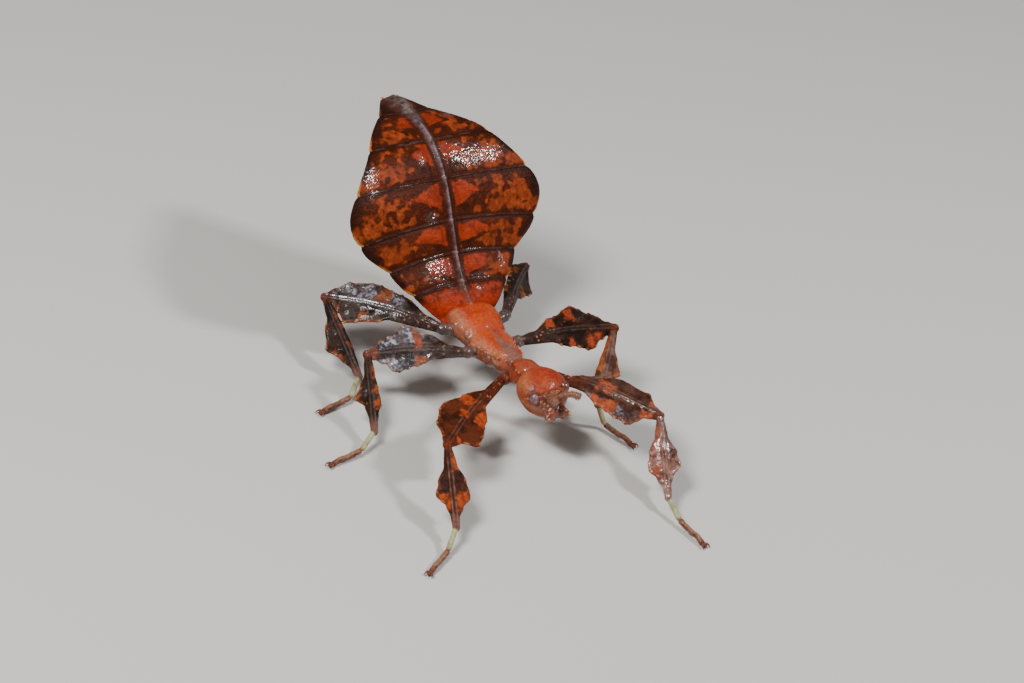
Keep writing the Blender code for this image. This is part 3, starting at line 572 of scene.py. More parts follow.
# ---- legs -------------------------------------------------------------------
def heading(side, sweep, pitch=0.0):
    """Unit vector for a sweep and pitch in degrees."""
    level = math.cos(math.radians(pitch))
    return Vector((side * math.cos(math.radians(sweep)) * level,
                   -math.sin(math.radians(sweep)) * level,
                   math.sin(math.radians(pitch))))


def leg_joints(leg):
    """Hip, knee, ankle, end of the basitarsus and foot of one leg."""
    pair, word = leg.split("_")
    side, pose = SIDES[word], POSE[leg]
    hip = Vector((side * HIP[pair][0], *HIP[pair][1:]))
    knee = hip + heading(side, *pose["femur"]) * FEMUR_LENGTH[pair]

    def lowered(start, length, sweep, height):
        run = math.sqrt(length ** 2 - (start.z - height) ** 2)
        end = start + heading(side, sweep) * run
        end.z = height
        return end

    ankle = lowered(knee, TIBIA_LENGTH[pair], pose["tibia"], pose["ankle"])
    heel = lowered(ankle, BASITARSUS_LENGTH, pose["basitarsus"], BASITARSUS_HEIGHT)
    foot = lowered(heel, TARSUS_LENGTH, pose["tarsus"], TARSUS_RADIUS * 0.8)
    return hip, knee, ankle, heel, foot


def flat_side(axis, lean, roll):
    """The way a blade's flat side faces."""
    facing = LEAN_TO * lean + UP_VECTOR * (1 - lean)
    normal = (facing - axis * facing.dot(axis)).normalized()
    return Matrix.Rotation(math.radians(roll), 3, axis) @ normal


def narrowed(lobe, share):
    """A lobe with a share of its width past the core."""
    core = lobe[0][1]
    return [(place, core + (width - core) * share) for place, width in lobe]


def teeth_shape(t, stations):
    """Pointed bumps at a blade's odd stations, with smaller ones between."""
    step = t * stations
    large = np.maximum(0, 1 - np.abs(step - (2 * np.floor(step / 2) + 1)) / 0.75)
    small = np.maximum(0, 1 - np.abs(step - 2 * np.round(step / 2)) / 0.35)
    return (large ** 1.3 + 0.25 * small) * smooth(0.22, 0.30, t) * (1 - smooth(0.94, 0.98, t))


def add_blade(body, kind, leg, start, end, normal, lobes, teeth, bow, stations, side):
    """A leg segment: a slim double-ridged core with a thin toothed lobe each side."""
    axis = (end - start).normalized()
    across = np.array(normal.cross(axis) * side)
    length = (end - start).length
    s = np.arange(-BLADE_REACH, length + BLADE_REACH + 0.001, RING_STEP)[:, None]
    t = np.clip(s / length, 0, 1)
    past = np.maximum(np.maximum(-s, s - length), 0) / (BLADE_REACH + 0.02)
    taper = np.sqrt(1 - past ** 2)
    shift = -bow * np.sin(math.pi * t)
    jag = teeth_shape(t, stations)
    widths = []
    station = np.stack([np.floor(t * stations / 2)] * 3, -1).astype(int)
    for hand, (lobe, tooth) in enumerate(zip(lobes, teeth)):
        width = blend(lobe, t)
        slim = 1 - smooth(0.35, 0.80, width)
        ragged = 0.45 + 0.75 * hashed(station, 3 * LEGS.index(leg) + hand)
        width = width + tooth * ragged * jag * np.minimum(1, width) * smooth(0.45, 0.65, width)
        widths.append(width - STEM_SLIMMING[kind] * slim)
    rear, fore = widths
    shift = np.maximum(shift, 0.30 - rear)
    v = np.linspace(-1, 1, BLADE_AROUND)[None]
    p = np.where(v < 0, v * rear, v * fore)
    edge = np.where(v < 0, rear + p, fore - p)
    q = np.abs(p - shift)
    wide = np.where(p < shift, rear + shift, fore - shift)
    share = np.clip(q / np.maximum(wide, 0.1), 0, 1)
    stem = 1 - smooth(0.40, 1.0, wide)
    lens = np.sqrt(np.clip(1 - share ** 2, 0, 1))
    flank = BLADE_EDGE * np.sqrt(np.clip(edge / 0.10, 0.05, 1))
    flank = flank + (BODY_DEPTH[kind] - BLADE_EDGE) * 0.72 * bell(q, 0.26)
    depth = flank * (1 - stem) + np.maximum(BODY_DEPTH[kind] * lens, 0.04) * stem
    lobed = smooth(0.5, 0.8, np.maximum(rear, fore))
    relief = 0.042 * bell(q - RIDGE_SPREAD, 0.055) - 0.012 * bell(q, 0.05)
    veins = 0.016 * np.sin(p * 7.0 - s * 5.5 * np.sign(p)) * smooth(0.35, 0.6, q) * lobed
    fold = LOBE_CURL * (p / 1.8) ** 2
    wave = 0.05 * np.sin(s * 2.3 + 1.7 * np.sign(p)) * smooth(0.5, 1.3, np.abs(p))
    middle = np.array(start) + np.array(axis) * s[..., None] + across * (p * taper)[..., None]
    middle = middle - np.array(normal) * ((fold - wave) * taper)[..., None]
    rise = (depth + relief + veins) * taper
    sink = (depth + 0.6 * relief - veins) * taper
    upper = middle + np.array(normal) * rise[..., None]
    lower = middle - np.array(normal) * sink[..., None]
    body.add(kind, folded(upper, lower), t, folded(p, p), folded(0 * p + 1, 0 * p - 1),
             folded(edge, edge), LEGS.index(leg))


def add_leg(body, leg):
    """Coxa, trochanter, femur, tibia and the five joints of the foot."""
    pair, word = leg.split("_")
    side = SIDES[word]
    number = LEGS.index(leg)
    hip, knee, ankle, heel, foot = leg_joints(leg)
    root = Vector((side * COXA_ROOT[pair][0], *COXA_ROOT[pair][1:]))
    out = (hip - root).normalized()
    t = np.linspace(0, 1, 40)
    path = bend(root, (root + hip) / 2, hip + out * 0.15, len(t))
    radii = COXA_RADIUS * (1.05 - 0.22 * t + 0.06 * np.sin(9 * t)) * rounded(len(t), 0.16)
    add_tube(body, "coxa", path, radii, 60, number)
    for centre, radius, kind, mark in ((hip, HIP_BALL, "coxa", 1), (knee, KNEE_BALL, "tibia", 0),
                                       (ankle, ANKLE_BALL, "tibia", 1)):
        grid, units = ball(centre, (radius,) * 3)
        body.add(kind, grid, mark, 0, units[..., 2], leg=number)

    teeth = [height * TEETH_SHARE[leg] for height in TEETH[pair]]
    shares = LOBE_SHARE.get(leg, (1, 1))
    lobes = [narrowed(lobe, share) for lobe, share in zip(FEMUR_LOBES[pair], shares)]
    normal, tibia_normal = (
        flat_side((end - start).normalized(), lean, -side * roll)
        for start, end, lean, roll in zip((hip, knee), (knee, ankle), LEAN[leg], ROLL.get(leg, (0, 0))))
    add_blade(body, "femur", leg, hip, knee, normal, lobes, teeth[:2],
              COSTA_BOW[leg], FEMUR_STATIONS, -side)
    add_blade(body, "tibia", leg, knee, ankle, tibia_normal, TIBIA_LOBES[pair], teeth[2:] * 2,
              0, TIBIA_STATIONS, -side)
    add_foot(body, number, ankle, heel, foot)


def level_way(start, end):
    """The level direction from one point to another."""
    ahead = (end - start).normalized()
    return Vector((ahead.x, ahead.y, 0)).normalized()


def add_foot(body, number, ankle, heel, foot):
    """Basitarsus, four short joints with pads, and the last joint's bend."""
    t = np.linspace(0, 1, 40)
    path = bend(ankle, (ankle + heel) / 2, heel, len(t))
    radii = FOOT_RADIUS * (0.86 + 0.16 * t + 0.05 * np.sin(math.pi * t)) * rounded(len(t), 0.10)
    add_tube(body, "heel", path, radii, 30, number)
    t = np.linspace(0, 1, 110)
    path = bend(heel, (heel + foot) / 2, foot, len(t)) - np.array((0, 0, 0.03)) * t[:, None]
    path[:, 2] += 0.10 * np.sin(math.pi * smooth(0.45, 1, t)) * smooth(0.45, 0.7, t)
    joint = np.minimum(t / 0.6, 1) * 3
    waist = np.abs(np.sin(math.pi * joint)) ** 0.5
    radii = FOOT_RADIUS * (0.84 + 0.20 * np.where(t < 0.6, waist, 0.6)) * (1 + 0.10 * smooth(0.8, 1, t))
    add_tube(body, "toe", path, radii * rounded(len(t), 0.05), 30, number)
    grid, units = ball(foot + level_way(heel, foot) * 0.14 - UP_VECTOR * 0.06, PAD_HALF, 20, 24)
    body.add("toe", grid, 1.0, 0, units[..., 2], leg=number)


def raw_body():
    """Every closed surface of the insect apart from eyes, feelers and claws."""
    body = Body()
    add_trunk(body)
    add_leaf(body)
    add_head(body)
    add_mouth(body)
    for leg in LEGS:
        add_leg(body, leg)
    return (np.concatenate(body.points), np.concatenate(body.faces),
            np.concatenate(body.notes), np.concatenate(body.kinds))


# ---- one skin ---------------------------------------------------------------
def mesh_from(name, points, faces):
    """A mesh of points and faces."""
    mesh = bpy.data.meshes.new(name)
    mesh.from_pydata(points.tolist(), [], faces.tolist())
    mesh.update()
    return mesh


def remeshed(points, faces):
    """The outer skin of overlapping closed surfaces, as even quads."""
    mesh = mesh_from("raw", points, faces)
    thing = bpy.data.objects.new("raw", mesh)
    bpy.context.scene.collection.objects.link(thing)
    step = thing.modifiers.new("voxels", "REMESH")
    step.mode = "VOXEL"
    step.voxel_size = VOXEL
    graph = bpy.context.evaluated_depsgraph_get()
    skin = bpy.data.meshes.new_from_object(thing.evaluated_get(graph))
    bpy.data.objects.remove(thing)
    bpy.data.meshes.remove(mesh)
    return skin


def read(mesh, what="co"):
    """Vertex places or normals of a mesh."""
    values = np.empty(len(mesh.vertices) * 3)
    if what == "co":
        mesh.vertices.foreach_get("co", values)
    else:
        mesh.vertex_normals.foreach_get("vector", values)
    return values.reshape(-1, 3)


def write(mesh, points):
    """New vertex places for a mesh."""
    mesh.vertices.foreach_set("co", points.ravel())
    mesh.update()


def on_surface(places, points, faces, notes, kinds):
    """For each place: the nearest point of the raw body and that point's notes."""
    tree = BVHTree.FromPolygons(points.tolist(), faces.tolist())
    found, index = np.empty_like(places), np.empty(len(places), int)
    for k, place in enumerate(places.tolist()):
        spot, _, face, _ = tree.find_nearest(place)
        found[k] = spot
        index[k] = face
    a, b, c = (points[faces[index, k]] for k in range(3))
    ab, ac, ap = b - a, c - a, found - a
    d00, d01, d11 = (np.sum(m * n, -1) for m, n in ((ab, ab), (ab, ac), (ac, ac)))
    d20, d21 = np.sum(ap * ab, -1), np.sum(ap * ac, -1)
    bottom = np.maximum(d00 * d11 - d01 * d01, 1e-18)
    v = np.clip((d11 * d20 - d01 * d21) / bottom, 0, 1)
    w = np.clip((d00 * d21 - d01 * d20) / bottom, 0, 1)
    shares = np.stack([1 - v - w, v, w], -1)
    marks = sum(shares[:, k, None] * notes[faces[index, k]] for k in range(3))
    return found, marks, kinds[faces[index, 0]]


class Edges:
    """Neighbour averages over a mesh."""

    def __init__(self, mesh):
        pairs = np.empty(len(mesh.edges) * 2, np.int32)
        mesh.edges.foreach_get("vertices", pairs)
        self.one, self.two = pairs.reshape(-1, 2).T
        self.size = len(mesh.vertices)
        self.degree = np.maximum(np.bincount(pairs, minlength=self.size), 1)

    def average(self, values):
        """The mean of each vertex's neighbours."""
        total = np.zeros_like(values)
        for k in range(values.shape[1]):
            column = values[:, k]
            total[:, k] = (np.bincount(self.one, column[self.two], self.size)
                           + np.bincount(self.two, column[self.one], self.size))
        return total / self.degree[:, None]


# ---- painting: where each colour lies ---------------------------------------
FLAME = tone(0.64, 0.215, 0.10)
MARBLE = tone(0.62, 0.265, 0.12)
AMBER = tone(0.84, 0.50, 0.20)
BROWN = tone(0.24, 0.10, 0.05)
PEAT = tone(0.29, 0.115, 0.05)
SOOT = tone(0.17, 0.075, 0.04)
UMBER = tone(0.40, 0.16, 0.07)
DARK = tone(0.12, 0.06, 0.04)
MAROON = tone(0.32, 0.09, 0.07)
CROWN = tone(0.70, 0.32, 0.20)
BUFF = tone(0.82, 0.48, 0.30)
CHEEK = tone(0.64, 0.30, 0.14)
GREY = tone(0.56, 0.48, 0.46)
LILAC = tone(0.62, 0.53, 0.56)
# Painted sheen: a pale silvery colour standing for reflections on some femora.
SHEEN = tone(0.62, 0.60, 0.65)
BEIGE = tone(0.80, 0.50, 0.36)
ORANGE = tone(0.84, 0.34, 0.13)
SCARLET = tone(0.76, 0.21, 0.10)
BRICK = tone(0.66, 0.30, 0.19)
CREAM = tone(0.84, 0.83, 0.62)
PALE = tone(0.86, 0.60, 0.42)
PINK = tone(0.72, 0.50, 0.44)

# Wet places on the leaf: place, x, their spread along and across, strength.
LEAF_GLINTS = (
    (4.50, 2.0, 0.26, 1.4, 1.0), (4.40, 3.7, 0.18, 0.8, 0.9), (4.78, 1.3, 0.10, 1.0, 0.9),
    (1.50, -1.4, 0.42, 0.8, 1.0), (3.16, -1.3, 0.13, 0.45, 1.0), (4.30, -5.2, 0.34, 0.5, 0.8),
    (4.55, -1.2, 0.14, 0.25, 0.8), (4.95, -1.6, 0.05, 0.6, 0.5), (1.12, 1.4, 0.10, 0.9, 0.8),
    (1.60, 3.2, 0.30, 0.22, 0.8), (2.05, 1.2, 0.04, 1.2, 0.5), (2.05, -2.0, 0.04, 1.6, 0.45),
    (5.60, 2.2, 0.12, 0.4, 0.5), (0.70, 1.0, 0.12, 0.3, 0.4), (3.98, -2.6, 0.03, 2.0, 0.4),
    (1.30, 0.1, 0.55, 0.16, 1.0), (0.90, -0.8, 0.16, 0.3, 0.6), (5.95, 3.0, 0.05, 0.8, 0.6),
    (4.02, 0.0, 0.10, 0.12, 0.8),
)
# Orange patches on the legs: (t from, t to, p from, p to), p in mm from the axis,
# below 0 on a femur's rear lobe and on a tibia's outer lobe.
FEMUR_PATCHES = {
    "front_right": ((.38, .50, -1.3, -.35), (.59, .66, -.6, -.1), (.38, .62, .32, 1.6), (.88, .95, .2, 1.6)),
    "front_left": ((.45, .61, -1.0, -.2), (.90, .97, -1.2, -.2), (.44, .66, .3, 1.6), (.86, .96, .2, 1.6)),
    "mid_right": ((.45, .52, -1.9, -.3), (.38, .50, .32, 1.2), (.27, .33, .2, .8), (.90, 1.0, -.5, .5)),
    "mid_left": ((.50, .61, -1.7, -.9), (.28, .37, -1.2, -.6), (.32, .38, .25, .6), (.50, .55, .25, .9),
                 (.70, .74, .25, 1.2), (.79, .84, .25, 1.0)),
    "hind_right": ((.49, .60, -2.0, -.7), (.49, .56, .55, 1.2), (.62, .69, .2, 1.4), (.85, .92, .3, 1.2)),
    "hind_left": ((.30, .40, -1.4, -.6), (.52, .62, .3, 1.2), (.70, .80, -1.3, -.5)),
}
TIBIA_PATCHES = {
    "front_right": ((.12, .35, .1, .9), (.62, .82, .25, 1.1), (.60, .82, -1.1, -.25), (.38, .66, -1.2, -.85)),
    "front_left": ((.13, .42, .1, 1.0), (.60, .80, .3, 1.1), (.45, .62, -1.2, -.7)),
    "mid_right": ((.20, .34, .1, .7), (.41, .50, .1, .8), (.61, .71, .1, .8), (.48, .68, -1.1, -.75)),
    "mid_left": ((.15, .60, .1, .8), (.42, .68, -1.2, -.72)),
    "hind_right": ((.22, .29, .1, .6), (.35, .41, .1, .6), (.61, .69, .1, .6), (.62, .90, -1.3, -.55)),
    "hind_left": ((.20, .35, -.6, .6), (.55, .70, -1.2, -.4)),
}
# Each leg's lobes, femur then tibia: their ground, its clouds and the patches.
# The greyish clouds of the mid-right and hind-right femora and the pinkish front-left tibia stand partly for
# a painted sheen.
LEG_TONES = {
    "front_right": ((tone(0.29, 0.14, 0.08), tone(0.42, 0.19, 0.10), tone(0.66, 0.27, 0.12)),
                    (tone(0.24, 0.12, 0.08), tone(0.34, 0.17, 0.10), tone(0.66, 0.28, 0.12))),
    "front_left": ((tone(0.28, 0.15, 0.10), tone(0.40, 0.24, 0.17), tone(0.66, 0.31, 0.18)),
                   (tone(0.44, 0.29, 0.25), tone(0.66, 0.48, 0.42), tone(0.62, 0.30, 0.20))),
    "mid_right": ((tone(0.16, 0.11, 0.10), tone(0.36, 0.28, 0.26), tone(0.60, 0.30, 0.18)),
                  (tone(0.18, 0.115, 0.08), tone(0.24, 0.15, 0.10), tone(0.58, 0.28, 0.12))),
    "mid_left": ((tone(0.17, 0.095, 0.065), tone(0.27, 0.15, 0.10), tone(0.60, 0.24, 0.12)),
                 (tone(0.33, 0.20, 0.15), tone(0.55, 0.40, 0.33), tone(0.62, 0.32, 0.16))),
    "hind_right": ((tone(0.15, 0.105, 0.085), tone(0.32, 0.25, 0.22), tone(0.56, 0.30, 0.17)),
                   (tone(0.17, 0.11, 0.075), tone(0.23, 0.15, 0.10), tone(0.54, 0.25, 0.12))),
    "hind_left": ((tone(0.17, 0.11, 0.075), tone(0.24, 0.15, 0.10), tone(0.60, 0.30, 0.11)),
                  (tone(0.15, 0.10, 0.07), tone(0.40, 0.33, 0.27), tone(0.52, 0.27, 0.14))),
}
# How glossy each leg's blades are.
WETNESS = {
    "front_right": 0.10, "front_left": 0.60, "mid_right": 1.0,
    "mid_left": 0.30, "hind_right": 0.9, "hind_left": 0.10,
}
# How far a painted silvery sheen, a colour standing for reflections, covers each femur's rear and fore lobe.
PAINTED_REFLECTION_COVER = {
    "front_right": (0.0, 0.0), "front_left": (0.0, 0.35), "mid_right": (0.80, 0.90),
    "mid_left": (0.0, 0.0), "hind_right": (0.70, 0.05), "hind_left": (0.0, 0.0),
}
# How strong the pale ridge shows on each femur and tibia.
COSTA_STRENGTH = {
    "front_right": (0.30, 0.60), "front_left": (0.60, 0.70), "mid_right": (0.65, 0.35),
    "mid_left": (0.25, 0.60), "hind_right": (0.85, 0.30), "hind_left": (0.3, 0.3),
}
COSTA_TONE = {"front": PINK, "mid": GREY, "hind": LILAC}
# Patches on the head, most on its right side: place in its own axes, reach, tone, strength.
HEAD_SPOTS = (
    ((-0.11, 0.78, 1.19), 0.62, SCARLET * 0.80, 0.55),
    ((0.66, 0.23, 1.24), 0.50, SCARLET * 0.62, 0.60),
    ((-0.92, 1.27, 0.41), 0.60, BUFF, 0.80),
    ((-1.29, 0.64, 0.70), 0.55, BUFF * 0.9, 0.80),
    ((-0.96, 0.12, 1.12), 0.16, MAROON * 1.3, 0.60),
    ((-0.28, 0.02, 1.34), 0.26, BUFF * 0.85, 0.25),
    ((-1.31, 0.03, 0.88), 0.28, LILAC * 0.7, 0.45),
    ((-1.59, 0.15, 0.49), 0.50, CHEEK, 0.75),
    ((-1.58, -0.34, 0.42), 0.50, CHEEK * 0.9, 0.80),
    ((-1.36, -0.84, 0.25), 0.45, CHEEK * 0.85, 0.80),
    ((-0.99, -1.24, 0.18), 0.35, CHEEK * 0.9, 0.75),
    ((-0.65, -1.34, 0.50), 0.11, LILAC * 0.8, 0.60),
    ((-0.28, -1.48, 0.49), 0.30, BROWN * 1.3, 0.80),
    ((0.12, -1.52, 0.40), 0.30, BROWN * 1.5, 0.75),
    ((0.79, -1.25, 0.51), 0.38, BRICK * 0.55, 0.70),
    ((-0.12, -1.04, 0.96), 0.34, BEIGE * 0.50, 0.70),
    ((0.95, 0.75, 0.95), 0.60, SCARLET * 0.80, 0.40),
)


class Paint:
    """Colours and finish of the skin's points of one kind."""

    def __init__(self, count):
        self.ground = np.zeros((count, 3))
        self.spot = np.zeros((count, 3))
        self.field = np.zeros(count)
        self.shine = np.full(count, 0.5)
        self.grain = np.full(count, 0.008)

    def fill(self, ground, spot):
        """One ground and one marking colour everywhere."""
        self.ground[:] = ground
        self.spot[:] = spot
        return self

    def lay(self, colour, share, held=None):
        """Mixes a colour into the ground, and holds the markings back there."""
        share = np.clip(share, 0, 1)
        self.ground = part_way(self.ground, colour, share[:, None])
        self.field = self.field * (1 - (share if held is None else held))


def paint_leaf(points, place, u, top, edge, _):
    """Flames beside the keel, marbling outside them, dark lines and margins."""
    paint = Paint(len(points)).fill(PEAT, MARBLE)
    last = len(MIDRIB) - 1
    part = place - np.floor(place)
    segment = np.floor(place) + 1
    length = leaf_place(place)[3]
    nearest = np.clip(np.round(place), 0, last - 1)
    line = np.abs(place - nearest) * length
    half = ramp(HALF_WIDTH, np.maximum(place, 0))
    size, x = np.abs(u), np.abs(u) * half
    tip = smooth(5.3, 6.4, place)
    cloud = noise(points, 0.75, 3, 3)
    blotch = noise(points, 0.34, 61, 3)

    # The flames: how far each reaches from the midrib, as a share of the half width.
    outer = 0.05 + 0.14 * smooth(0.22, 0.50, part) + 0.17 * bell(part - 0.64, 0.12)
    outer = np.where(segment == 2, 0.16 + 0.32 * smooth(0.20, 0.50, part), outer)
    third = 0.09 + 0.22 * smooth(0.25, 0.52, part) + 0.15 * bell(part - 0.64, 0.13)
    outer = np.where(segment == 3, third, outer)
    outer = np.where(segment <= 1, 1.2, outer)
    outer = np.where(segment == 6, 0.50 * smooth(0.34, 0.46, part) * (1 - smooth(0.76, 0.86, part)), outer)
    outer = np.where(segment == 7, 0, outer)
    keelside = 0.40 + 0.30 * tip
    flame = np.minimum(outer * half - x, x - keelside)
    flame = np.minimum(flame, (0.92 - part) * length)
    flame = 0.5 + (flame + 0.7 * (blotch - 0.5) + 0.12 * (cloud - 0.5)) / 0.85

    # The marbling outside them, with its amount, and pale dots.
    amount = smooth(0.24, 0.58, size) * (1 - smooth(0.55, 1.05, part)) + 0.30 * smooth(0.45, 0.8, size)
    amount = amount * (1 - smooth(0.80, 0.96, size) * smooth(0.25, 0.55, part))
    amount = amount * np.where(segment == 7, 0.2, np.where(segment == 6, 0.95, 1))
    amount = amount * (1 - 0.7 * (segment == 5) * smooth(0.30, 0.60, part) * smooth(1.0, -1.0, points[:, 0]))
    worm = noise(points, 0.40, 67, 1)
    web = noise(points, 0.24, 68, 1)
    marble = 0.24 * cloud + 0.44 * worm + 0.32 * web
    marble = 0.5 + (marble - 0.575 + 0.12 * amount) * 3.1
    marble = marble - 0.40 * bell(size - outer - 0.09, 0.09) * (outer < 1) * smooth(0.95, 0.75, part)
    distance, number = grains(points, 0.22, 5)
    zone = bell(size - 0.45, 0.25) * smooth(0.30, 0.6, part)
    dots = 0.40 + (0.26 - distance) * 0.9 - 0.8 * (number > 0.30 + 0.25 * zone + 0.15 * amount)
    marble = np.maximum(marble, np.where(size > 0.16, dots, 0))
    paint.field = np.clip(np.maximum(flame, marble), 0, 1)
    hot = np.clip(smooth(-0.06, 0.12, outer + 0.05 - size) + (segment <= 1), 0, 1)[:, None]
    dim = (0.72 + 0.40 * smooth(0.35, 0.68, blotch))[:, None]
    glow = (0.74 + 0.32 * smooth(0.36, 0.62, blotch) * smooth(keelside - 0.1, keelside + 0.7, x))[:, None]
    paint.spot = part_way(MARBLE * dim, FLAME * glow, hot)
    warm = (0.55 * smooth(0.32, 0.60, cloud) * smooth(0.12, 0.45, size) * (1 - tip))[:, None]
    paint.ground = part_way(paint.ground, UMBER, warm)

    # Dark pits, lines and margins, the pale edge, the midrib with its painted highlight, painted shade in the
    # hollows of the tip, and the root.
    pit = np.hypot(x - PIT_PLACE[0], (part - PIT_PLACE[1]) * length)
    paint.lay(SOOT, 0.45 * bell(pit, 0.36) * (place > 0.9) * (place < 5.9))
    paint.lay(SOOT, 0.60 * bell(line - 0.05, 0.06) * smooth(0.12, 0.5, x))
    paint.lay(PEAT * 0.8, 0.55 * bell(line - 0.12, 0.16) * smooth(0.12, 0.5, x))
    paint.lay(SOOT, 0.45 * bell(part - 0.97, 0.13) * smooth(0.25, 0.7, size))
    paint.lay(SOOT * 1.2, 0.6 * (segment == 6) * smooth(0.55, 0.95, size + 0.25 * (cloud - 0.5)))
    paint.lay(SOOT, 0.85 * smooth(0.80, 0.99, size + 0.14 * (blotch - 0.5)) * smooth(0.20, 0.50, part))
    paint.lay(AMBER, 0.9 * smooth(0.16, 0.04, edge) * (1 - smooth(0.15, 0.40, part)) * (place > 0.5))
    paint.lay(SOOT, 0.8 * smooth(0.20, 0.04, edge) * smooth(0.3, 0.5, part))
    paint.lay(SOOT, 0.75 * (segment == 7) * smooth(0.6, 1.0, x))
    paint.lay(PEAT * 0.9, 0.6 * bell(x - 0.32 - 0.40 * tip, 0.13) * smooth(0.6, 1.5, place))
    dusty = smooth(0.35, 0.65, noise(points, 0.5, 19, 3))
    paint.lay(GREY * 0.45, 0.65 * bell(line, 0.03) * smooth(0.2, 0.6, x) * dusty * (place > 0.5))
    # The midrib's lilac-grey, pink towards the root, is partly its own tone and partly a painted highlight
    # along its crest.
    widening = 0.10 * smooth(4.0, 5.0, place) + 0.14 * smooth(1.7, 0.6, place) + 0.40 * tip
    ridge = bell(x, 0.10 + widening)
    grey = (0.35 + 0.65 * smooth(0.35, 0.65, noise(points, 0.28, 9, 3)))[:, None]
    paler = smooth(1.6, 0.7, place)[:, None]
    keel_tone_and_highlight = part_way(part_way(LILAC, GREY, tip[:, None]), PINK, paler)
    paint.lay(PEAT * 0.9 + MAROON * 0.2, 0.7 * bell(x, 0.24) * (1 - tip) * smooth(0.9, 1.7, place))
    paint.lay(keel_tone_and_highlight * grey * 0.85, 0.88 * ridge)
    paint.lay(GREY * 1.1, 0.8 * bell(np.hypot(x, 1.3 * line), 0.15) * (place > 0.7))
    # Painted shade in the two hollows of the tip.
    recess_shade = (bell(np.hypot(x - 0.22, (place - 6.78) * length), 0.20)
              + bell(np.hypot(x, (place - 6.35) * length), 0.16))
    paint.lay(DARK * 1.5, 0.8 * recess_shade)
    root = smooth(0.80, 0.40, place) * (1 - 0.8 * ridge)
    paint.lay(SCARLET * 0.72 + ORANGE * 0.15, 0.85 * root)
    paint.lay(PEAT * 1.3, 0.55 * smooth(1.0, 0.8, place) * smooth(0.50, 0.66, blotch) * (1 - ridge))

    wet = 0 * x
    for at, beside, long, wide, strength in LEAF_GLINTS:
        spot = ((place - at) / long) ** 2 + ((u * half - beside) / wide) ** 2
        wet = np.maximum(wet, strength * np.exp(-spot))
    paint.shine = 0.08 + 0.12 * bell(part - 0.6, 0.3) + wet * (0.7 + 0.3 * smooth(0.35, 0.6, blotch))
    paint.grain = 0.008 + 0.008 * smooth(0.4, 0.7, noise(points, 1.0, 22)) + 0.024 * np.minimum(wet, 1)
    paint.grain *= 1 - 0.7 * ridge
    below = top < 0
    paint.field[below] *= 0.9
    paint.ground[below] = paint.ground[below] * 0.6 + UMBER * 0.5
    return paint


def paint_trunk(points, y, side, height, *_):
    """Orange metathorax, grey-pink wedge before it, red-brown pronotum."""
    paint = Paint(len(points)).fill(ORANGE * 0.92, SCARLET * 0.85)
    x = points[:, 0]
    cloud = noise(points, 1.1, 7, 3)
    fine = noise(points, 0.35, 8, 3)
    paint.lay(SCARLET * 0.95, 0.60 * smooth(0.30, 0.70, cloud), 0)
    paint.lay(SCARLET * 0.80, 0.50 * smooth(-0.9, -0.2, y) * smooth(0.3, -0.5, side), 0)
    paint.field = 0.5 + (fine - 0.66) * 2.0
    patch = smooth(0.25, 0.75, -side + 0.35 * (fine - 0.5)) * smooth(-5.0, -4.4, y)
    patch = patch * (0.50 + 0.50 * smooth(0.35, 0.62, cloud))
    paint.lay(BEIGE, 0.80 * patch)
    paint.lay(PINK, 0.5 * patch * smooth(0.55, 0.70, fine))
    wedge = 0.50 * np.clip((-2.0 - y) / 2.9, 0, 1.2)
    within = smooth(0.18, -0.12, np.abs(x + 0.06) - wedge - 0.16 * (fine - 0.5)) * smooth(-1.9, -2.5, y)
    paint.lay(PINK * 0.50 + BRICK * 0.10, within)
    paint.lay(BEIGE * 0.70, 0.6 * bell(x, 0.05) * smooth(-4.6, -3.8, y) * smooth(-1.2, -2.2, y))
    paint.lay(BRICK, smooth(-5.02, -5.20, y))
    paint.lay(BRICK * 0.75 + SCARLET * 0.15, 0.6 * smooth(-5.1, -5.3, y) * smooth(0.45, 0.62, cloud))
    paint.lay(BEIGE * 0.8, 0.45 * bell(y + 1.72 + 0.30 * np.abs(side), 0.045) * smooth(0.0, 0.4, height))
    flank = smooth(0.10, -0.40, height)
    distance, number = grains(points, 0.22, 17)
    paint.lay(UMBER * 1.1, 0.80 * flank * smooth(-5.2, -4.8, y))
    paint.lay(BROWN * 1.3, 0.80 * bell(height - 0.05, 0.38) * smooth(0.40, 0.54, fine) * smooth(-5.2, -4.8, y)
              * smooth(-0.8, -2.2, y))
    paint.lay(PALE * 0.85, 0.8 * (number > 0.72) * smooth(0.42, 0.30, distance) * smooth(-5.0, -4.7, y)
              * bell(height - 0.15, 0.45))
    paint.lay(BROWN * 1.6, 0.5 * flank * smooth(0.45, 0.6, fine) * smooth(-5.2, -4.8, y))
    margin = bell(np.abs(side) - 0.80, 0.12) * smooth(-5.1, -5.3, y) * smooth(0.0, 0.3, height)
    paint.lay(MAROON * 1.1, 0.6 * margin)
    paint.lay(PALE * 0.75, 0.8 * margin * (number > 0.45) * smooth(0.45, 0.30, distance))
    paint.grain = 0.012 + 0.010 * patch + 0.006 * flank
    paint.shine = 0.36 - 0.14 * smooth(-5.0, -5.3, y) + 0.30 * smooth(0.50, 0.64, fine)
    paint.lay(MAROON * 1.2, 0.35 * smooth(0.62, 0.95, np.abs(side)) * smooth(-1.9, -1.5, y)
              * smooth(-0.1, 0.2, height))
    paint.lay(ORANGE * 1.1, 0.5 * bell(np.hypot((np.abs(x) - 0.55) / 0.5, (y + 1.1) / 0.35), 1.0), 0)
    return paint


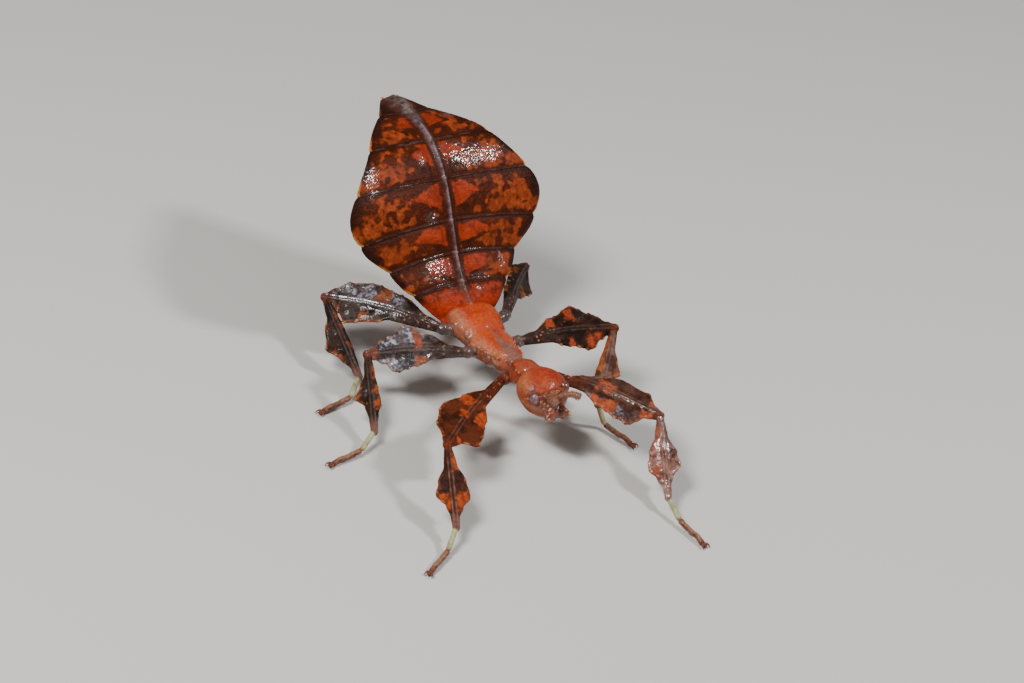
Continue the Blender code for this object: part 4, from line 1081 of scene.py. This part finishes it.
def paint_head(points, y, x, z, *_):
    """Smooth orange crown with a rim, granular face, patches at their places."""
    paint = Paint(len(points)).fill(CROWN, SCARLET * 0.55)
    cloud = noise(points, 0.7, 12, 3)
    fine = noise(points, 0.22, 16, 3)
    distance, number = grains(points, 0.17, 8)
    paint.field = np.where(number > 0.84, 0.48 + (0.30 - distance) * 1.2, 0)
    paint.lay(SCARLET * 0.75, 0.45 * smooth(0.42, 0.62, cloud), 0)
    side = smooth(0.95, 0.55, z) * smooth(0.5, 1.0, np.abs(x))
    paint.lay(CHEEK, 0.8 * side, 0.5 * side)
    paint.lay(CHEEK * 0.75, 0.7 * smooth(0.5, 0.0, z), 0)
    rim = rim_from(x, y)
    face = smooth(0.02, -0.12, rim) * smooth(0.15, 0.45, z)
    paint.lay(BRICK * 0.50 + UMBER * 0.2, 0.85 * face)
    paint.lay(BROWN * 1.5, 0.6 * face * smooth(0.50, 0.62, fine))
    paint.lay(PALE * 0.72, 0.75 * face * (number > 0.60) * smooth(0.48, 0.30, distance))
    places = np.stack([x, y, z], -1)
    for spot, reach, colour, strength in HEAD_SPOTS:
        away = np.linalg.norm(places - np.array(spot), axis=-1) + 0.25 * reach * (cloud + fine - 1.0)
        paint.lay(colour, strength * smooth(1.45 * reach, 0.35 * reach, away), 0)
    paint.lay(UMBER, 0.8 * smooth(-0.2, -0.7, z))
    for hand in SIDES.values():
        centre = np.array(EYE_PLACE) * (hand, 1, 1)
        reach = np.linalg.norm((places - centre) / np.array(EYE_HALF), axis=-1)
        paint.lay(MAROON * 0.8 + LILAC * 0.12,
                  0.8 * bell(reach - 1.1, 0.22) * (0.4 + 0.6 * smooth(0.35, 0.6, fine)))
    paint.grain = 0.008 + 0.010 * face + 0.002 * side
    paint.shine = 0.34 + 0.30 * face
    return paint


def paint_mouth(points, y, x, *_):
    """Orange-brown outside, dark red-brown between, with a painted highlight as a pale pink stroke."""
    paint = Paint(len(points)).fill(tone(0.44, 0.19, 0.11), CHEEK * 0.8)
    paint.field = 0.5 + (noise(points, 0.35, 31, 2) - 0.55) * 1.6 + 0.5 * smooth(0.35, 0.6, np.abs(x))
    paint.lay(tone(0.24, 0.09, 0.06), 0.75 * bell(x, 0.20))
    # Painted highlight: a pale pink stroke on the mouth's right side.
    paint.lay(PINK, 0.6 * bell(x + 0.42, 0.09) * smooth(0.3, -0.4, y))
    return paint


def paint_palp(points, t, *_):
    """Pinkish brown granular joints, paler at the tip."""
    paint = Paint(len(points)).fill(PINK * 0.75 + BRICK * 0.15, BROWN * 1.9)
    paint.field = 0.5 + (noise(points, 0.18, 33, 2) - 0.58) * 2.0
    paint.lay(PALE, 0.5 * smooth(0.7, 1.0, t))
    paint.lay(BROWN * 1.6, 0.45 * bell(((t * 4) % 1) - 0.02, 0.10))
    paint.grain[:] = 0.012
    return paint


def paint_spine(points, t, *_):
    """Pale-orange tubercles."""
    paint = Paint(len(points)).fill(ORANGE * 0.7, PALE * 0.8)
    paint.field = t * 0.8
    paint.grain[:] = 0.003
    return paint


def paint_coxa(points, t, side, height, edge, leg):
    """Rugose with pale grains: grey-brown, and red-brown on the front pair."""
    front = LEGS[leg].startswith("front")
    ground, marked = (BRICK * 0.40, PALE * 0.6) if front else (GREY * 0.30, GREY * 0.9)
    paint = Paint(len(points)).fill(ground, marked)
    distance, number = grains(points, 0.20, 6)
    paint.field = np.where(number > 0.55, 0.5 + (0.34 - distance) * 1.4, 0)
    paint.lay(PINK * 0.45, 0.5 * smooth(0.45, 0.65, noise(points, 0.4, 14, 2)), 0)
    paint.grain[:] = 0.020
    paint.shine[:] = 0.45
    return paint


def paint_blade(is_tibia, points, t, p, top, edge, leg):
    """Dark lobes with orange patches, a pale double ridge and pale teeth."""
    cloud = noise(points, 0.55, 41 + leg, 3)
    fine = noise(points, 0.25, 51 + leg, 3)
    leg = LEGS[leg]
    pair = leg.split("_")[0]
    length = (TIBIA_LENGTH if is_tibia else FEMUR_LENGTH)[pair]
    stations = TIBIA_STATIONS if is_tibia else FEMUR_STATIONS
    bow = 0 if is_tibia else COSTA_BOW[leg]
    patches = (TIBIA_PATCHES if is_tibia else FEMUR_PATCHES)[leg]
    ground, clouded, patched = LEG_TONES[leg][is_tibia]
    wetness = WETNESS[leg] * (0.25 + 0.75 * (leg == "front_left") if is_tibia else 1.0)
    # On some legs these tones stand partly for a painted sheen.
    paint = Paint(len(points)).fill(ground, patched)
    paint.lay(clouded, 0.70 * smooth(0.44, 0.66, cloud), 0)
    paint.lay(ground * 0.45, 0.6 * smooth(0.50, 0.34, cloud), 0)
    if not is_tibia:
        # Painted sheen: a pale silvery colour where these lobes show reflections.
        rear, fore = PAINTED_REFLECTION_COVER[leg]
        painted_reflection = np.where(p < 0, rear, fore) * smooth(0.20, 0.45, np.abs(p)) * smooth(0.30, 0.45, t)
        painted_reflection = painted_reflection * (0.15 + 0.85 * smooth(0.42, 0.58, noise(points, 0.45, 49, 2)))
        reflection_brightness = 0.25 + 1.55 * smooth(0.38, 0.68, noise(points, 0.13, 50, 2))
        paint.lay(SHEEN * reflection_brightness[:, None], painted_reflection, 0.6 * painted_reflection)
        wetness = wetness * np.where(p < 0, 1.0, 0.25 + 0.75 * fore)
        wetness = wetness * (0.45 + 0.55 * smooth(0.25, 0.45, t))
    level = np.full(len(points), -FAR)
    for low, high, near, far in patches:
        inside = np.minimum(np.minimum((t - low) * length, (high - t) * length),
                            np.minimum(p - near, far - p))
        level = np.maximum(level, inside)
    paint.field = np.clip(0.5 + (level + 0.30 * (cloud - 0.5) + 0.55 * (fine - 0.5)) / 0.65, 0, 1)
    distance, number = grains(points, 0.24, 7)
    flecks = np.where(number > 0.93, 0.42 + (0.30 - distance) * 1.1, 0)
    paint.field = np.maximum(paint.field, flecks)
    paint.spot = paint.spot * (0.75 + 0.5 * smooth(0.35, 0.65, fine))[:, None]
    jag = teeth_shape(t, stations)
    rim = smooth(0.20, 0.05, edge) * smooth(0.35, 0.65, np.abs(p))
    paint.lay(CHEEK, 0.55 * rim * smooth(0.35, 0.6, noise(points, 0.4, 44, 2)))
    paint.lay(PALE * 0.75, 0.9 * rim * smooth(0.35, 0.75, jag) * (number > 0.25))
    q = np.abs(p + bow * np.sin(math.pi * t))
    worn = 0.45 + 0.55 * smooth(0.35, 0.6, noise(points, 0.3, 45, 2))
    costa = bell(q - RIDGE_SPREAD, 0.05) * worn * (0.25 + 0.75 * smooth(0.1, 0.4, t))
    paint.lay(COSTA_TONE[pair] * 0.85, COSTA_STRENGTH[leg][is_tibia] * costa)
    paint.lay(BROWN, 0.28 * bell(q, 0.05))
    if not is_tibia:
        stem = smooth(0.46, 0.25, t) * smooth(0.75, 0.45, np.abs(p))
        paint.lay(BRICK * 0.36 if pair == "front" else GREY * 0.20 + BROWN * 0.4, 0.75 * stem)
        paint.lay(BROWN * 0.8, 0.6 * stem * smooth(0.45, 0.6, fine))
        paint.lay(PALE * 0.8, 0.8 * stem * (number > 0.66) * smooth(0.36, 0.24, distance))
        paint.lay(GREY, 0.6 * stem * (number < 0.25) * smooth(0.36, 0.24, distance) * (pair != "front"))
        paint.lay(BRICK * 0.45, 0.6 * smooth(0.90, 1.0, t))
    else:
        paint.lay(CHEEK * 0.8, 0.6 * smooth(0.12, 0.0, t))
        paint.lay(PINK * 0.7, 0.55 * smooth(0.80, 1.0, t))
        if leg == "front_left":
            # Painted sheen: a pinkish silver colour standing for this tibia's reflections.
            reflection_brightness = 0.15 + 1.20 * smooth(0.32, 0.62, noise(points, 0.15, 50, 2))
            painted_reflection = 0.75 * smooth(0.30, 0.50, t) * smooth(0.10, 0.30, np.abs(p))
            painted_reflection = painted_reflection * (0.30 + 0.70 * smooth(0.36, 0.56, noise(points, 0.45, 49, 2)))
            paint.lay(PINK * reflection_brightness[:, None], painted_reflection, 0.6 * painted_reflection)
            paint.lay(SOOT * 1.2, 0.75 * bell(t - 0.47, 0.07) * smooth(0.15, 0.35, -p))
    paint.grain = 0.010 + 0.014 * wetness - (0.004 + 0.008 * wetness) * bell(q, 0.20)
    paint.shine = 0.12 + wetness * (0.30 + 0.60 * smooth(0.36, 0.60, noise(points, 0.5, 46, 2)))
    return paint


def paint_heel(points, t, side, height, *_):
    """Cream, greener above, browner below and at both ends."""
    paint = Paint(len(points)).fill(CREAM * 0.82, CREAM * 0.55)
    paint.field = 0.5 + (noise(points, 0.3, 51, 2) - 0.60) * 1.5
    paint.lay(BUFF * 0.7, 0.8 * smooth(0.0, -0.6, height))
    paint.lay(BUFF * 0.6, 0.7 * (smooth(0.10, 0.0, t) + smooth(0.88, 1.0, t)))
    paint.grain[:] = 0.002
    paint.shine[:] = 0.30
    return paint


def paint_toe(points, t, side, height, *_):
    """Pinkish brown with a paler stripe above and dark creases."""
    paint = Paint(len(points)).fill(PINK * 0.44 + BUFF * 0.08, BRICK * 0.45)
    paint.field = 0.5 + (noise(points, 0.25, 52, 2) - 0.60) * 1.8
    paint.lay(BUFF * 0.40 + CREAM * 0.30,
              0.45 * smooth(0.50, 0.90, height) * smooth(0.98, 0.75, t) * smooth(0.05, 0.2, t))
    crease = np.where(t < 0.62, bell(((t / 0.2 + 0.5) % 1) - 0.5, 0.10), 0)
    paint.lay(BROWN * 1.6, 0.35 * crease)
    paint.lay(BROWN * 1.2, 0.6 * smooth(-0.2, -0.8, height))
    paint.lay(UMBER, 0.6 * smooth(0.85, 1.0, t))
    paint.grain[:] = 0.004
    paint.shine[:] = 0.35
    return paint


PAINTERS = {
    "leaf": paint_leaf, "trunk": paint_trunk, "head": paint_head, "mouth": paint_mouth,
    "palp": paint_palp, "spine": paint_spine, "coxa": paint_coxa,
    "femur": functools.partial(paint_blade, False), "tibia": functools.partial(paint_blade, True),
    "heel": paint_heel, "toe": paint_toe,
}


def painted(points, notes, kinds):
    """The whole skin's colours, kind by kind and leg by leg."""
    whole = Paint(len(points))
    for kind, leg in np.unique(kinds, axis=0):
        here = np.flatnonzero((kinds == (kind, leg)).all(1))
        paint = PAINTERS[KINDS[kind]](points[here], *notes[here].T, leg)
        for what, values in vars(paint).items():
            getattr(whole, what)[here] = values
    return whole


# ---- materials --------------------------------------------------------------
class Nodes:
    """A material's node tree, with short calls that add a node and return its output."""

    def __init__(self, name):
        self.material = bpy.data.materials.new(name)
        self.material.use_nodes = True
        self.tree = self.material.node_tree
        self.shader = self.tree.nodes["Principled BSDF"]

    def put(self, node, inputs):
        """Sets or links a node's inputs, which are named or numbered."""
        for word, value in inputs.items():
            if isinstance(value, bpy.types.NodeSocket):
                self.tree.links.new(value, node.inputs[word])
            else:
                node.inputs[word].default_value = value

    def shade(self, **inputs):
        """Sets or links the shader's own inputs."""
        self.put(self.shader, {word.replace("_", " "): value for word, value in inputs.items()})

    def add(self, kind, output, inputs, **settings):
        """One output of a new node with these inputs and settings."""
        node = self.tree.nodes.new("ShaderNode" + kind)
        for word, value in settings.items():
            setattr(node, word, value)
        self.put(node, inputs)
        return node.outputs[output]

    def maths(self, operation, one, two):
        """A Math node's result."""
        return self.add("Math", 0, {0: one, 1: two}, operation=operation)

    def plus(self, value, other, share, middle=0.0):
        """A value and a share of another, which is counted from a middle."""
        if middle:
            other = self.maths("SUBTRACT", other, middle)
        return self.maths("ADD", value, self.maths("MULTIPLY", other, share))

    def between(self, *values):
        """A value mapped from one range (low, high) to another, smooth at both ends."""
        return self.add("MapRange", 0, dict(enumerate(values)), interpolation_type="SMOOTHSTEP")

    def mixed(self, share, one, two, how="MIX"):
        """Two colours mixed."""
        return self.add("Mix", 2, {0: share, 6: one, 7: two}, data_type="RGBA", blend_type=how)

    def attribute(self, name, output="Fac"):
        """A value kept on the mesh."""
        return self.add("Attribute", output, {}, attribute_name=name)

    def place(self):
        """Object coordinates, from one node for the whole tree."""
        found = self.tree.nodes.get("place")
        return found.outputs["Object"] if found else self.add("TexCoord", "Object", {}, name="place")

    def noise(self, size):
        """Noise with features of a size in millimetres, in the object's own space."""
        return self.add("TexNoise", 0, {"Scale": 1 / (size * MM), "Detail": 3, "Roughness": 0.6,
                                        "Vector": self.place()})

    def cells(self, size):
        """Distance from the middles of scattered cells of a size in millimetres."""
        return self.add("TexVoronoi", "Distance", {"Scale": 1 / (size * MM), "Vector": self.place()})

    def bump(self, height, depth):
        """A bump of a depth in millimetres."""
        return self.add("Bump", 0, {"Strength": 1.0, "Distance": depth * MM, "Height": height})


def cuticle(name, grain, depth, rough, gloss, ragged=1.0):
    """Insect skin: markings with broken edges, mottled tone, wet grains."""
    made = Nodes(name)
    fine, mid, cell = made.noise(grain * 0.35), made.noise(grain * 1.6), made.cells(grain)
    field = made.plus(made.attribute("field"), mid, 0.50 * ragged, 0.5)
    field = made.plus(field, fine, 0.35 * ragged, 0.5)
    colour = made.mixed(made.between(field, 0.28, 0.72, 0.0, 1.0),
                        made.attribute("ground", "Color"), made.attribute("spot", "Color"))
    mottle = made.between(made.plus(mid, fine, 0.6), 0.5, 1.1, 0.76, 1.22)
    tint = made.maths("MULTIPLY", mottle, made.between(cell, 0.35, 0.75, 1.0, 0.82))
    grey = made.add("CombineColor", 0, {0: tint, 1: tint, 2: tint})
    wet = made.attribute("shine")
    dull = made.maths("SUBTRACT", rough + 0.18, made.maths("MULTIPLY", wet, 0.26))
    domes = made.maths("MULTIPLY", made.between(cell, 0.1, 0.8, 1.0, 0.0), 0.7)
    height = made.plus(domes, fine, 0.6)
    made.shade(
        Base_Color=made.mixed(1.0, colour, grey, "MULTIPLY"),
        Roughness=made.plus(dull, fine, 0.22, 0.5),
        Specular_IOR_Level=made.between(wet, 0.15, 0.8, 0.10, 0.45),
        Normal=made.bump(height, depth),
        Coat_Weight=made.maths("MULTIPLY", made.between(wet, 0.2, 0.85, 0.0, 1.0), gloss),
        Coat_Roughness=0.08,
        Coat_IOR=1.8,
        Coat_Normal=made.bump(height, depth * 0.4))
    return made.material


def eye_look():
    """Glossy compound eye: tiny facets under purple-brown and a painted lilac sheen."""
    made = Nodes("compound_eye")
    facet, cloud = made.cells(0.035), made.noise(0.22)
    share = made.between(cloud, 0.35, 0.65, 0.0, 1.0)
    made.shade(
        Base_Color=made.mixed(share, made.attribute("ground", "Color"), made.attribute("spot", "Color")),
        Roughness=made.between(cloud, 0.3, 0.7, 0.16, 0.34),
        Normal=made.bump(facet, 0.004),
        Coat_Weight=1.0,
        Coat_Roughness=0.08)
    return made.material


def horn_look(name, pale, dark, size):
    """Plain chitin of claws and feelers, darker towards one end and mottled."""
    made = Nodes(name)
    cloud = made.noise(size)
    share = made.between(made.plus(made.attribute("field"), cloud, 0.4), 0.3, 1.2, 0.0, 1.0)
    made.shade(
        Base_Color=made.mixed(share, (*pale, 1), (*dark, 1)),
        Roughness=made.between(cloud, 0.3, 0.7, 0.30, 0.55),
        Normal=made.bump(cloud, 0.008),
        Coat_Weight=0.3)
    return made.material


EYE_LOOK = eye_look()
FEELER_LOOK = horn_look("feeler_chitin", tone(0.62, 0.42, 0.34), tone(0.42, 0.26, 0.20), 0.08)
CLAW_LOOK = horn_look("claw_horn", tone(0.52, 0.26, 0.15), tone(0.20, 0.08, 0.05), 0.10)
# The skin's looks: grain, bump depth, roughness, strength of the clear coat, raggedness of edges.
SKIN_LOOKS = {
    "leaf_cuticle": (0.14, 0.012, 0.30, 1.0, 0.5),
    "body_cuticle": (0.12, 0.008, 0.34, 0.7),
    "leg_cuticle": (0.13, 0.012, 0.34, 1.0, 0.8),
    "foot_cuticle": (0.10, 0.006, 0.45, 0.25),
}
LOOK_OF = {"leaf": 0, "femur": 2, "tibia": 2, "coxa": 2, "heel": 3, "toe": 3}   # the rest has look 1


# ---- objects ----------------------------------------------------------------
def offset():
    """How far part.py moved the model: the eyes' place in the frame against here."""
    middles = []
    for word in SIDES:
        low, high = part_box(f"eye_{word}")
        middles.append((low + high) / 2 / MM)
    return np.array((middles[0] + middles[1]) / 2) - head_point(np.array(EYE_PLACE) * (0, 1, 1))


OFFSET = offset()


def keep(mesh, paint):
    """Stores the painter's values on the mesh's points."""
    for word, values in (("ground", paint.ground), ("spot", paint.spot)):
        layer = mesh.attributes.new(word, "FLOAT_COLOR", "POINT")
        layer.data.foreach_set("color", np.column_stack([values, np.ones(len(values))]).ravel())
    for word, values in (("field", paint.field), ("shine", paint.shine)):
        layer = mesh.attributes.new(word, "FLOAT", "POINT")
        layer.data.foreach_set("value", values)


def placed(name, mesh):
    """An object of a mesh in millimetres, moved to the frame, in metres."""
    points = read(mesh) + OFFSET
    points[:, 2] = np.maximum(points[:, 2], 0)
    write(mesh, points * MM)
    mesh.shade_smooth()
    thing = bpy.data.objects.new(name, mesh)
    bpy.context.scene.collection.objects.link(thing)
    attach(thing, "root")
    return thing


def make_skin():
    """The whole flesh as one surface, painted and grained."""
    points, faces, notes, kinds = raw_body()
    mesh = remeshed(points, faces)
    edges = Edges(mesh)
    places = read(mesh)
    found, marks, sorts = on_surface(places, points, faces, notes, kinds)
    places = 0.15 * places + 0.85 * found
    mixed = edges.average(sorts[:, :1].astype(float))[:, 0] != sorts[:, 0]
    near = mixed.astype(float)[:, None]
    for _ in range(4):
        near = np.maximum(near, 0.8 * edges.average(near))
    places = part_way(places, edges.average(places), 0.5 * near)
    paint = painted(places, marks, sorts)
    for _ in range(3):
        for what in ("ground", "spot"):
            values = getattr(paint, what)
            setattr(paint, what, part_way(values, edges.average(values), 0.6 * near))
    write(mesh, places)
    bumps = (0.8 * smooth(0.75, 0.10, grains(places, 0.24, 2)[0])
             + 0.7 * smooth(0.8, 0.1, grains(places, 0.15, 3)[0]) + 1.2 * (noise(places, 0.4, 4, 2) - 0.5))
    write(mesh, places + read(mesh, "normal") * (paint.grain * (bumps - 0.4))[:, None])
    keep(mesh, paint)
    for name, numbers in SKIN_LOOKS.items():
        mesh.materials.append(cuticle(name, *numbers))
    table = np.array([LOOK_OF.get(kind, 1) for kind in KINDS])
    first = np.empty(len(mesh.polygons), np.int32)
    mesh.polygons.foreach_get("loop_start", first)
    corners = np.empty(len(mesh.loops), np.int32)
    mesh.loops.foreach_get("vertex_index", corners)
    mesh.polygons.foreach_set("material_index", table[sorts[corners[first], 0]].astype(np.int32))
    skin = placed("insect_skin", mesh)
    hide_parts(*[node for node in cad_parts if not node.startswith(("eye", "antenna"))])


def make_piece(name, body, paint, look):
    """A body's own surface as an object, without the remesh."""
    mesh = mesh_from(name, np.concatenate(body.points), np.concatenate(body.faces))
    keep(mesh, paint)
    mesh.materials.append(look)
    return placed(name, mesh)


def plain_paint(body, share):
    """Only the marking's share, from the length noted on a body's points."""
    along = np.concatenate(body.notes)[:, 0]
    paint = Paint(len(along))
    paint.field = along * share
    return paint


def make_eye(word, side):
    """One compound eye: painted sheen, pale and lilac, where it faces up and out, browner behind."""
    centre = np.array(EYE_PLACE) * (side, 1, 1)
    grid, units = ball(centre, EYE_HALF, 60, 80)
    body = Body()
    body.add("head", head_point(grid), *np.moveaxis(units, -1, 0))
    units = np.concatenate(body.notes)[:, :3]
    spots = centre + units * np.array(EYE_HALF)
    # The right eye is painted paler than the left one: painted sheen.
    paint = Paint(len(spots)).fill(tone(0.40, 0.27, 0.30), tone(0.55, 0.45, 0.52))
    if side > 0:
        paint.fill(tone(0.27, 0.18, 0.19), tone(0.44, 0.36, 0.39))
    # Painted sheen: lilac where the eye faces up and out; behind the crown's rim and elsewhere it is brown.
    facing = units @ unit(np.array((side * 0.60, -0.25, 0.75)))
    painted_reflection = smooth(0.62, 0.92, facing) * smooth(0.5, 0.1, rim_from(spots[:, 0], spots[:, 1]))
    behind = (1 - painted_reflection)[:, None]
    paint.ground = part_way(paint.ground, BRICK * 0.45, behind)
    paint.spot = part_way(paint.spot, CROWN * 0.55, behind)
    eye = make_piece(f"eye_surface_{word}", body, paint, EYE_LOOK)
    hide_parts(f"eye_{word}")


def make_antenna(word, side):
    """A short beaded feeler, fuzzy with fine hairs."""
    root = head_point(np.array(ANTENNA_PLACE) * (side, 1, 1))
    spread, rise = ANTENNA_POSE[word]
    ahead = np.array((side * math.sin(spread), -math.cos(spread), rise))
    count, around = 120, 32
    t = np.linspace(-0.15, 1, count)
    arch = UP * (0.20 * np.sin(math.pi * np.maximum(t, 0)))[:, None]
    path = root + ahead * (ANTENNA_LENGTH * t)[:, None] + arch
    beads = np.abs(np.sin(math.pi * 7 * np.clip(t, 0, 1))) ** 0.5
    radii = (0.15 + 0.05 * smooth(0.2, 0.8, t)) * (0.84 + 0.20 * beads) * rounded(count, 0.06)
    grid, across, height = tube(path, radii, around)
    body = Body()
    body.add("palp", grid, t[:, None], across, height)
    chance = np.random.default_rng(5 + side)
    for _ in range(HAIRS):
        row = chance.integers(12, count - 3)
        step = chance.integers(0, around)
        foot = grid[row, step]
        out = unit(foot - path[row])
        lean = unit(out + ahead * chance.uniform(0.3, 0.9) + chance.normal(0, 0.15, 3))
        tip = foot + lean * chance.uniform(0.07, 0.13)
        strand = bend(foot - out * 0.02, (foot + tip) / 2 + out * 0.01, tip, len(HAIR_RADII))
        body.add("palp", tube(strand, HAIR_RADII, 4)[0], 0.2, 0, 0)
    feeler = make_piece(f"feeler_{word}", body, plain_paint(body, 0.5), FEELER_LOOK)
    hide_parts(f"antenna_{word}")


def make_claws(leg):
    """A pair of curved claws on one foot."""
    heel, foot = leg_joints(leg)[3:]
    level = level_way(heel, foot)
    out = Vector((-level.y, level.x, 0))
    body = Body()
    for hand in SIDES.values():
        start = foot + level * 0.02 + out * hand * 0.06
        middle = foot + level * 0.30 + out * hand * 0.24 + UP_VECTOR * 0.14
        tip = foot + level * (CLAW_LENGTH - 0.04) + out * hand * 0.26 - UP_VECTOR * (foot.z - 0.04)
        t = np.linspace(0, 1, 30)
        radii = 0.085 * (1 - 0.85 * t ** 1.2) * rounded(len(t), 0.05)
        add_tube(body, "toe", bend(start, middle, tip, len(t)), radii, 20)
    make_piece(f"claws_{leg}", body, plain_paint(body, 1), CLAW_LOOK)


# ---- floor, camera and light ------------------------------------------------
CAMERA_TURN = math.radians(-39.84)
CAMERA_RISE = math.radians(33.76)
CAMERA_ROLL = math.radians(12.83)
CAMERA_AWAY = 299.0        # mm from what it looks at
CAMERA_AIM = np.array((3.50, 0.0, 1.68))
PHOTO_WIDTH = 1024         # pixels
PIXELS_PER_MM = 16.01
SENSOR = 36.0              # mm
LIGHT_AWAY = 160           # mm from what the camera looks at
# Soft square lights: direction, size in mm, power in watts, colour.
LIGHTS = {
    "left_light": ((-0.60, -0.08, 0.80), 44, 0.19, (1, 0.98, 0.95)),
    "right_light": ((0.47, -0.42, 0.77), 20, 0.125, (1, 1, 1)),
}
SKY = {"Color": (1, 0.99, 0.97, 1), "Strength": 0.165}
FLOOR_TONE = (0.78, 0.77, 0.74, 1)
FLOOR_HALF = 1.5           # metres


def camera_axes():
    """The camera's right, up and backward directions."""
    back = np.array((math.sin(CAMERA_TURN) * math.cos(CAMERA_RISE),
                     -math.cos(CAMERA_TURN) * math.cos(CAMERA_RISE), math.sin(CAMERA_RISE)))
    right = unit(np.cross(-back, UP))
    above = np.cross(right, -back)
    across, upward = turned(right, above, -CAMERA_ROLL)
    return across, upward, back


def make_camera():
    """The photograph's viewpoint."""
    lens = bpy.data.cameras.new("camera")
    lens.sensor_width = SENSOR
    lens.lens = PIXELS_PER_MM * CAMERA_AWAY / PHOTO_WIDTH * SENSOR
    lens.clip_start, lens.clip_end = 0.01, 10
    camera = bpy.data.objects.new("camera", lens)
    right, above, back = camera_axes()
    matrix = Matrix.Identity(4)
    for k, axis in enumerate((right, above, back)):
        matrix.col[k][:3] = axis
    matrix.translation = Vector((CAMERA_AIM + OFFSET + back * CAMERA_AWAY) * MM)
    camera.matrix_world = matrix
    bpy.context.scene.collection.objects.link(camera)
    bpy.context.scene.camera = camera


def make_light(name, towards, size, power, colour):
    """A square soft light, aimed at the middle of the body."""
    lamp = bpy.data.lights.new(name, "AREA")
    lamp.size = size * MM
    lamp.energy = power
    lamp.color = colour
    thing = bpy.data.objects.new(name, lamp)
    thing.location = Vector((CAMERA_AIM + OFFSET) * MM) + Vector(towards).normalized() * LIGHT_AWAY * MM
    thing.rotation_mode = "QUATERNION"
    thing.rotation_quaternion = Vector(towards).to_track_quat("Z", "Y")
    bpy.context.scene.collection.objects.link(thing)


def make_stage():
    """Pale floor and soft light."""
    corners = [(x * FLOOR_HALF, y * FLOOR_HALF, 0) for x, y in ((-1, -1), (1, -1), (1, 1), (-1, 1))]
    mesh = bpy.data.meshes.new("floor")
    mesh.from_pydata(corners, [], [(0, 1, 2, 3)])
    floor = bpy.data.objects.new("floor", mesh)
    bpy.context.scene.collection.objects.link(floor)
    look = Nodes("floor")
    look.shade(Base_Color=FLOOR_TONE, Roughness=0.7)
    mesh.materials.append(look.material)
    world = bpy.data.worlds.new("studio")
    world.use_nodes = True
    for word, value in SKY.items():
        world.node_tree.nodes["Background"].inputs[word].default_value = value
    bpy.context.scene.world = world
    for name, light in LIGHTS.items():
        make_light(name, *light)


make_skin()
for word_of_side, side_sign in SIDES.items():
    make_eye(word_of_side, side_sign)
    make_antenna(word_of_side, side_sign)
for leg_name in LEGS:
    make_claws(leg_name)
make_camera()
make_stage()
